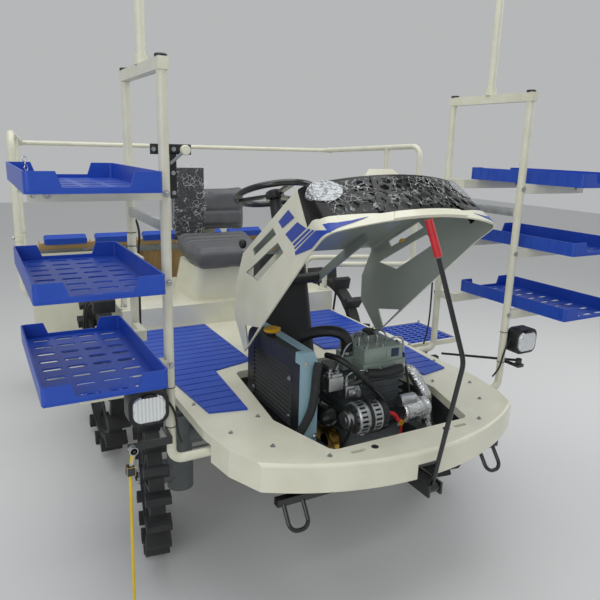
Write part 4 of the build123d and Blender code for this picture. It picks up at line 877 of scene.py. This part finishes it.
# Seedling racks: bolts, the bright sleeve on the brace, post caps, ties and cables
TRAY_TOPS = (1606, 1331, 1056)
POST_X, FRONT_POST_Y, REAR_POST_Y = 765, -1155, -702
ARM_BELOW_TRAY, ARM_END_X, REAR_ARM_Y = 76, 1100, -817
POST_FACE, ARM_FACE = 15.5, 13.3
TIE_R, TIE_THICK = 17.6, 3.4
# Each post's y, the way its bolt looks and its arm's y
POSTS = ((FRONT_POST_Y, -1, FRONT_POST_Y), (REAR_POST_Y, 1, REAR_ARM_Y))
POST_CAP = ((19, 0), (19, 6), (16, 9), (0, 9))
POLE_CAP = ((16.3, -14), (16.3, 7), (13, 7.9), (0, 8))
for side_name, side in SIDES:
    bolts = []
    for top in TRAY_TOPS:
        arm_z = top - ARM_BELOW_TRAY
        for post_y, outward, arm_y in POSTS:
            bolts.append(((side * POST_X, post_y + outward * POST_FACE, arm_z), (0, outward, 0)))
            bolts.append(((side * ARM_END_X, arm_y - ARM_FACE, arm_z), AHEAD))
    repeat(f"rack_bolts_{side_name}", hex_bolt(12), bolts, bright_steel, "chassis")
    boxes(f"brace_sleeve_{side_name}", [
        (sorted((side * 754, side * 776)), (-1137, -720), (1414, 1446)),
    ], cast_alu, "chassis", 2)
    turned(f"post_caps_{side_name}", [
        ((side * POST_X, y, 1920), UP, POST_CAP) for y in (-1151, -706)
    ] + [((side * POST_X, -928.5, 2392), UP, POLE_CAP)], black_abs, "chassis", 20)
    runs(f"post_ties_{side_name}", [
        (TIE_THICK, tuple(
            (side * POST_X + TIE_R * math.cos(a), y + TIE_R * math.sin(a), z)
            for a in [k * math.pi / 4 for k in range(9)]
        ))
        for y, z in ((-702, 1350), (-702, 1300), (-702, 1180), (-1155, 900), (-1155, 760))
    ], wire_skin, "chassis")
    # The long cable comes down the rear post and the short one leaves the work lamp
    runs(f"post_cable_{side_name}", [
        (thick, tuple((side * x, y, z) for x, y, z in route)) for thick, route in (
            (9, ((744, -690, 1395), (726, -684, 1350), (742, -682, 1250), (738, -682, 1100), (742, -684, 900),
                 (728, -690, 760), (700, -700, 712))),
            (8, ((790, -1176, 872), (770, -1178, 850), (752, -1176, 800), (746, -1170, 730),
                 (728, -1150, 690))),
        )
    ], wire_skin, "chassis")

# Right rack: the lock of its swing with plate, knob, lever and screws, and the chain of its top tray
boxes("rack_lock_plate", [
    ((-800, -673), (-1136, -1131), (1645, 1676)), ((-741, -720), (-1136, -1131), (1512, 1650)),
], black_abs, "chassis", 1)
turned("rack_lock_knob", [
    ((-694, -1137, 1659), AHEAD, ((15.5, 0), (15.5, 12), (13, 16), (7, 17), (0, 17))),
], cream_abs, "chassis", 28)
runs("rack_lock_lever", [
    (10, ((-697, -1142, 1657), (-716, -1144, 1640), (-742, -1144, 1618))),
], grey_abs, "chassis")
repeat("rack_lock_screws", hex_bolt(7), [
    ((x, -1136.2, z), AHEAD) for x, z in ((-790, 1660), (-728, 1661), (-730, 1530), (-731, 1590))
], bright_steel, "chassis")
CHAIN_X, CHAIN_Y, CHAIN_TOP_Z = -1150, -1171, 1627
LINKS, LINK_PITCH, LINK_DRIFT = 9, 12, 1.5
LINK_HALF_WIDE, LINK_HALF_TALL, LINK_THICK = 5, 8, 2.6
chain = bmesh.new()
for k in range(LINKS):
    centre = Vector((CHAIN_X + LINK_DRIFT * k, CHAIN_Y, CHAIN_TOP_Z - LINK_PITCH * k))
    tilt = Matrix.Rotation(math.pi / 2 * (k % 2), 4, "Z")
    ring = bmesh.new()
    add_run(ring, [
        (LINK_HALF_WIDE * math.cos(a), 0, LINK_HALF_TALL * math.sin(a))
        for a in [j * math.pi / 3 for j in range(6)]
    ], LINK_THICK, closed=True)
    ring.transform(Matrix.Translation(centre) @ tilt)
    link_mesh = bpy.data.meshes.new("link")
    ring.to_mesh(link_mesh)
    ring.free()
    chain.from_mesh(link_mesh)
    bpy.data.meshes.remove(link_mesh)
piece("tray_chain", chain, bright_steel, "chassis")

# Trays: stiffening ribs on the outside of the walls and a bar under the front edge
TRAY_WALL_X = (836.2, 1172.8)
RIB_PITCH, RIB_THICK, RIB_HALF_WIDE = 48, 1.6, 1.5
for side_name, side in SIDES:
    table = []
    for top in TRAY_TOPS:
        for y in range(-1370, -790, RIB_PITCH):
            for x in TRAY_WALL_X:
                table.append((
                    sorted((side * x, side * (x + RIB_THICK))), (y - RIB_HALF_WIDE, y + RIB_HALF_WIDE),
                    (top - 50, top - 3),
                ))
        table.append((sorted((side * 840, side * 1172)), (-1398.4, -1396.6), (top - 54.5, top - 50)))
    boxes(f"tray_ribs_{side_name}", table, blue_abs, "chassis", 0)

# Wheels: bolts round each hub; the front wheels stand turned by 9 degrees
HUB_FACE, HUB_BOLTS, HUB_BOLT_RING_R = 45.2, 6, 33
for axle, turned_by in (("front", -9), ("rear", 0)):
    lean = math.radians(turned_by)
    for side_name, side in SIDES:
        low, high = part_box(f"{axle}_rim_{side_name}")
        centre = (low + high) / 2 / MM
        way = Vector((math.cos(lean), math.sin(lean), 0)) * side
        flat = way.cross(Vector(UP))
        repeat(f"{axle}_hub_bolts_{side_name}", hex_bolt(8), [
            (centre + way * HUB_FACE + (flat * math.cos(a) + Vector(UP) * math.sin(a)) * HUB_BOLT_RING_R, way)
            for a in [2 * math.pi * k / HUB_BOLTS for k in range(HUB_BOLTS)]
        ], bright_steel, f"{axle}_wheel_{side_name}")

# Right marker: bright upper arm with its eye, and its dark clamp over the yellow tube
runs("marker_arm", [
    (15.5, ((-912.5, -1240, 731), (-916, -1240, 706), (-919, -1240, 694))),
], bright_steel, "side_marker_right")
turned("marker_eye", [
    ((-912, -1252.5, 745), (0, 1, 0), ((11, 0), (13.6, 0), (13.6, 25), (11, 25), (11, 0))),
], bright_steel, "side_marker_right", 32)
boxes("marker_clamp", [
    ((-936.6, -909.4), (-1254.6, -1225.4), (662.4, 693.6)),
], chassis_black, "side_marker_right", 3)


# Seat: two vinyl pads with sewn channels, swollen by a short cloth simulation

def pad(name, low, high, round_by, channels, along, out_axis, pull):
    """A stuffed pad in a box, with channels along one axis pressed into the face that looks out."""
    before_swelling, most_swell = 5, 0.012
    voxel, cloth_steps = 0.009, 20
    seam_half, seam_deep, seam_reach = 0.007, 0.010, 0.05
    bm = bmesh.new()
    shrink = Vector((before_swelling, before_swelling, before_swelling))
    lows, highs = Vector(low) + shrink, Vector(high) - shrink
    add_box(bm, (lows.x, highs.x), (lows.y, highs.y), (lows.z, highs.z))
    bmesh.ops.bevel(bm, geom=bm.edges[:], offset=round_by, segments=4, affect="EDGES", profile=0.5)
    mesh = bpy.data.meshes.new(name)
    bm.to_mesh(mesh)
    bm.free()
    mesh.transform(Matrix.Scale(MM, 4))
    body = put(name, mesh)
    grid = body.modifiers.new("grid", "REMESH")
    grid.mode = "VOXEL"
    grid.voxel_size = voxel
    bake(body)
    start_at = [v.co.copy() for v in body.data.vertices]
    cloth = body.modifiers.new("swell", "CLOTH")
    cloth.settings.use_pressure = True
    cloth.settings.uniform_pressure_force = 4
    cloth.settings.effector_weights.gravity = 0
    cloth.settings.quality = 4
    cloth.collision_settings.use_collision = False
    for step in range(1, cloth_steps + 1):
        bpy.context.scene.frame_set(step)
    bake(body)
    bpy.context.scene.frame_set(1)
    face = (Vector(high) if pull > 0 else Vector(low))[out_axis] * MM
    for vert, rest_co in zip(body.data.vertices, start_at):
        swell = vert.co - rest_co
        if swell.length > most_swell:
            swell *= most_swell / swell.length
        vert.co = rest_co + swell
        near = 1 - min(abs(vert.co[out_axis] - face) / seam_reach, 1)
        for seam in channels:
            off = (vert.co[along] - seam * MM) / seam_half
            vert.co[out_axis] -= math.copysign(seam_deep, pull) * near * math.exp(-off * off)
    soft = body.modifiers.new("soft", "SUBSURF")
    soft.levels = soft.render_levels = 1
    bake(body)
    mesh = body.data.copy()
    bpy.data.objects.remove(body)
    done = settle(name, mesh, seat_vinyl, "chassis")
    return done


def bake(thing):
    """Apply what a piece's modifiers make to its mesh."""
    bpy.context.view_layer.update()
    made = baked(thing)
    thing.modifiers.clear()
    thing.data = made


ALONG_Y, ALONG_Z = 1, 2
CUSHION_SEAMS = (140, 180, 220, 262, 306, 352, 400, 450)
BACK_SEAMS = (1196, 1284)
cushion = pad("seat_cushion", (-240, 92, 1011), (240, 516, 1119), 34, CUSHION_SEAMS, ALONG_Y, ALONG_Z, 1)
pad("seat_back", (-244, 521, 1151), (244, 607, 1430), 30, BACK_SEAMS, ALONG_Z, ALONG_Y, -1)
# The cushion's rear rises towards the back, in metres
RISE, RISE_FROM_Y, RISE_LONG = 0.056, 0.30, 0.216
for vert in cushion.data.vertices:
    vert.co.z += RISE * max(0.0, (vert.co.y - RISE_FROM_Y) / RISE_LONG) ** 1.5
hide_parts("seat")

# The film-wrapped panel that stands on the cushion, in front of the driver's right half of the back
boxes("wrapped_panel", [((-232, -46), (501, 513), (1118, 1540))], black_abs, "chassis", 5)


def over_panel(u, v):
    """A place of the film hung over the panel, wavy and drawn in at its foot, and the way off it."""
    middle_x, film_y, middle_z = -138, 498, 1334
    wide, tall, drawn_in, wave = 206, 448, 130, 8
    taper = max(0.0, -v - 0.2) * 0.9
    x = middle_x + u * (wide - drawn_in * taper) + wave * math.sin(v * 5)
    return (x, film_y, middle_z + v * tall), AHEAD


panel_film = film_over("panel_film", over_panel, clear_film, "chassis", 12)
boxes("film_hem", [((-236, -44), (492, 498), (1551, 1557))], clear_film, "chassis", 2)

# Dash: instrument panel with its dials and switch, the wheel's centre cap and the levers
DIALS_Y, DIALS_Z = -380, 1239
WHEEL_Y, WHEEL_Z, CAP_OFF = -360, 1456, 8
COLUMN_LEAN = math.radians(21)
column_way = (0, math.sin(COLUMN_LEAN), math.cos(COLUMN_LEAN))
boxes("dash_panel", [((-84, 84), (-402, -356), (1226, 1240))], black_gloss, "chassis", 6)
turned("dash_dials", [
    ((-40, DIALS_Y, DIALS_Z), UP, ((22, 0), (22, 4), (19, 5), (0, 4.4))),
    ((20, DIALS_Y, DIALS_Z), UP, ((14, 0), (14, 4), (11, 5), (0, 4.4))),
    ((58, DIALS_Y, DIALS_Z), UP, ((9, 0), (9, 8), (7, 12), (0, 12))),
], chrome, "chassis", 28)
turned("wheel_centre_cap", [
    ((0, WHEEL_Y + CAP_OFF * column_way[1], WHEEL_Z + CAP_OFF * column_way[2]), column_way,
     ((38, 0), (38, 4), (30, 9), (0, 11))),
], black_gloss, "steering_wheel", 32)
for lever_name, x, y, top in (("shift_lever", 170, -400, 1290), ("hand_lever", -176, -392, 1210)):
    runs(lever_name, [
        (12, ((x * 0.62, y - 6, 1120), (x * 0.9, y, 1180), (x, y + 6, top))),
    ], bright_steel, "chassis")
    turned(lever_name + "_knob", [
        ((x, y + 6, top - 4), (0, 0.1, 1), ((8, 0), (15, 8), (19, 22), (16, 36), (8, 42), (0, 43))),
    ], black_abs, "chassis", 20)

# Handrail: joint clamps and their bolts, and the feet of its inner legs
CLAMP_Z = 1240
RAIL_CLAMP = ((16, 0), (19, 0), (19, 26), (16, 26))
LEG_X, LEG_YS, LEG_HALF = 616, (170, 420), 16.2
for side_name, side in SIDES:
    turned(f"rail_clamps_{side_name}", [
        ((side * 1012, 826, 1657), (side * 0.12, -0.99, 0.05), ((16, 0), (19.5, 0), (19.5, 34), (16, 34))),
        ((side * 1110, -61, CLAMP_Z), UP, RAIL_CLAMP),
        ((side * 1076, 221, CLAMP_Z), UP, RAIL_CLAMP),
    ], cream_paint, "chassis", 28)
    repeat(f"rail_bolts_{side_name}", hex_bolt(10), [
        ((side * x, y, CLAMP_Z + 13), (side, 0, 0)) for x, y in ((1129.2, -61), (1095.2, 221))
    ] + [((side * LEG_X, y - LEG_HALF, 836), AHEAD) for y in LEG_YS], bright_steel, "chassis")
    turned(f"rail_feet_{side_name}", [
        ((side * LEG_X, y, 820.6), UP, ((30, 0), (30, 6), (19, 9), (19, 20), (16, 20))) for y in LEG_YS
    ], cream_paint, "chassis", 28)

# Deck: plugs and screws, and the screws of the boarding steps
DECK_TOP, SCREW_FOOT = 700, 700.2
turned("deck_plugs", [
    ((x, -1481, DECK_TOP), UP, ((13, 0), (13, 1.6), (10, 1.8), (9, 0.6), (0, 0.6))) for x in (-158, 158)
], black_abs, "chassis", 24)
repeat("deck_screws", hex_bolt(9), [
    ((side * x, y, SCREW_FOOT), UP) for side in (-1, 1)
    for x, y in ((470, -1330), (560, -1180), (600, -900), (420, -1100), (330, -1470))
], bright_steel, "chassis")
for side_name, side in SIDES:
    repeat(f"step_screws_{side_name}", hex_bolt(9), [
        ((side * x, y, SCREW_FOOT), UP) for x in (648, 972) for y in (-650, -330)
    ], bright_steel, "chassis")

# Seedling table: rounded ribs down every lane and screws on the rail
FOOT_Y, FOOT_Z = 1345, 452
SLOPE = Vector((0, 1075 - FOOT_Y, 1040 - FOOT_Z))
LANES, LANE_WIDE = 6, 308
LANE_RIBS, LANE_RIB_PITCH, LANE_RIB_THICK = 7, 38, 9
along_slope = SLOPE.normalized()
off_slope = Vector((0, along_slope.z, -along_slope.y))
rib = bmesh.new()
for lane in range(LANES):
    for k in range(LANE_RIBS):
        x = (lane - (LANES - 1) / 2) * LANE_WIDE + (k - LANE_RIBS // 2) * LANE_RIB_PITCH
        foot = Vector((x, FOOT_Y, FOOT_Z)) - off_slope * 2.6
        low, high = foot + along_slope * 6, foot + along_slope * (SLOPE.length - 84)
        add_run(rib, [low, (low + high) / 2, high], LANE_RIB_THICK)
piece("table_ribs", rib, tan_board, "seedling_table")
repeat("rail_screws", hex_bolt(9), [
    (Vector((x, FOOT_Y, FOOT_Z)) + along_slope * (SLOPE.length - 68) - off_slope * 18.4, -off_slope)
    for x in range(-860, 900, 172)
], bright_steel, "seedling_table")

bpy.context.view_layer.update()
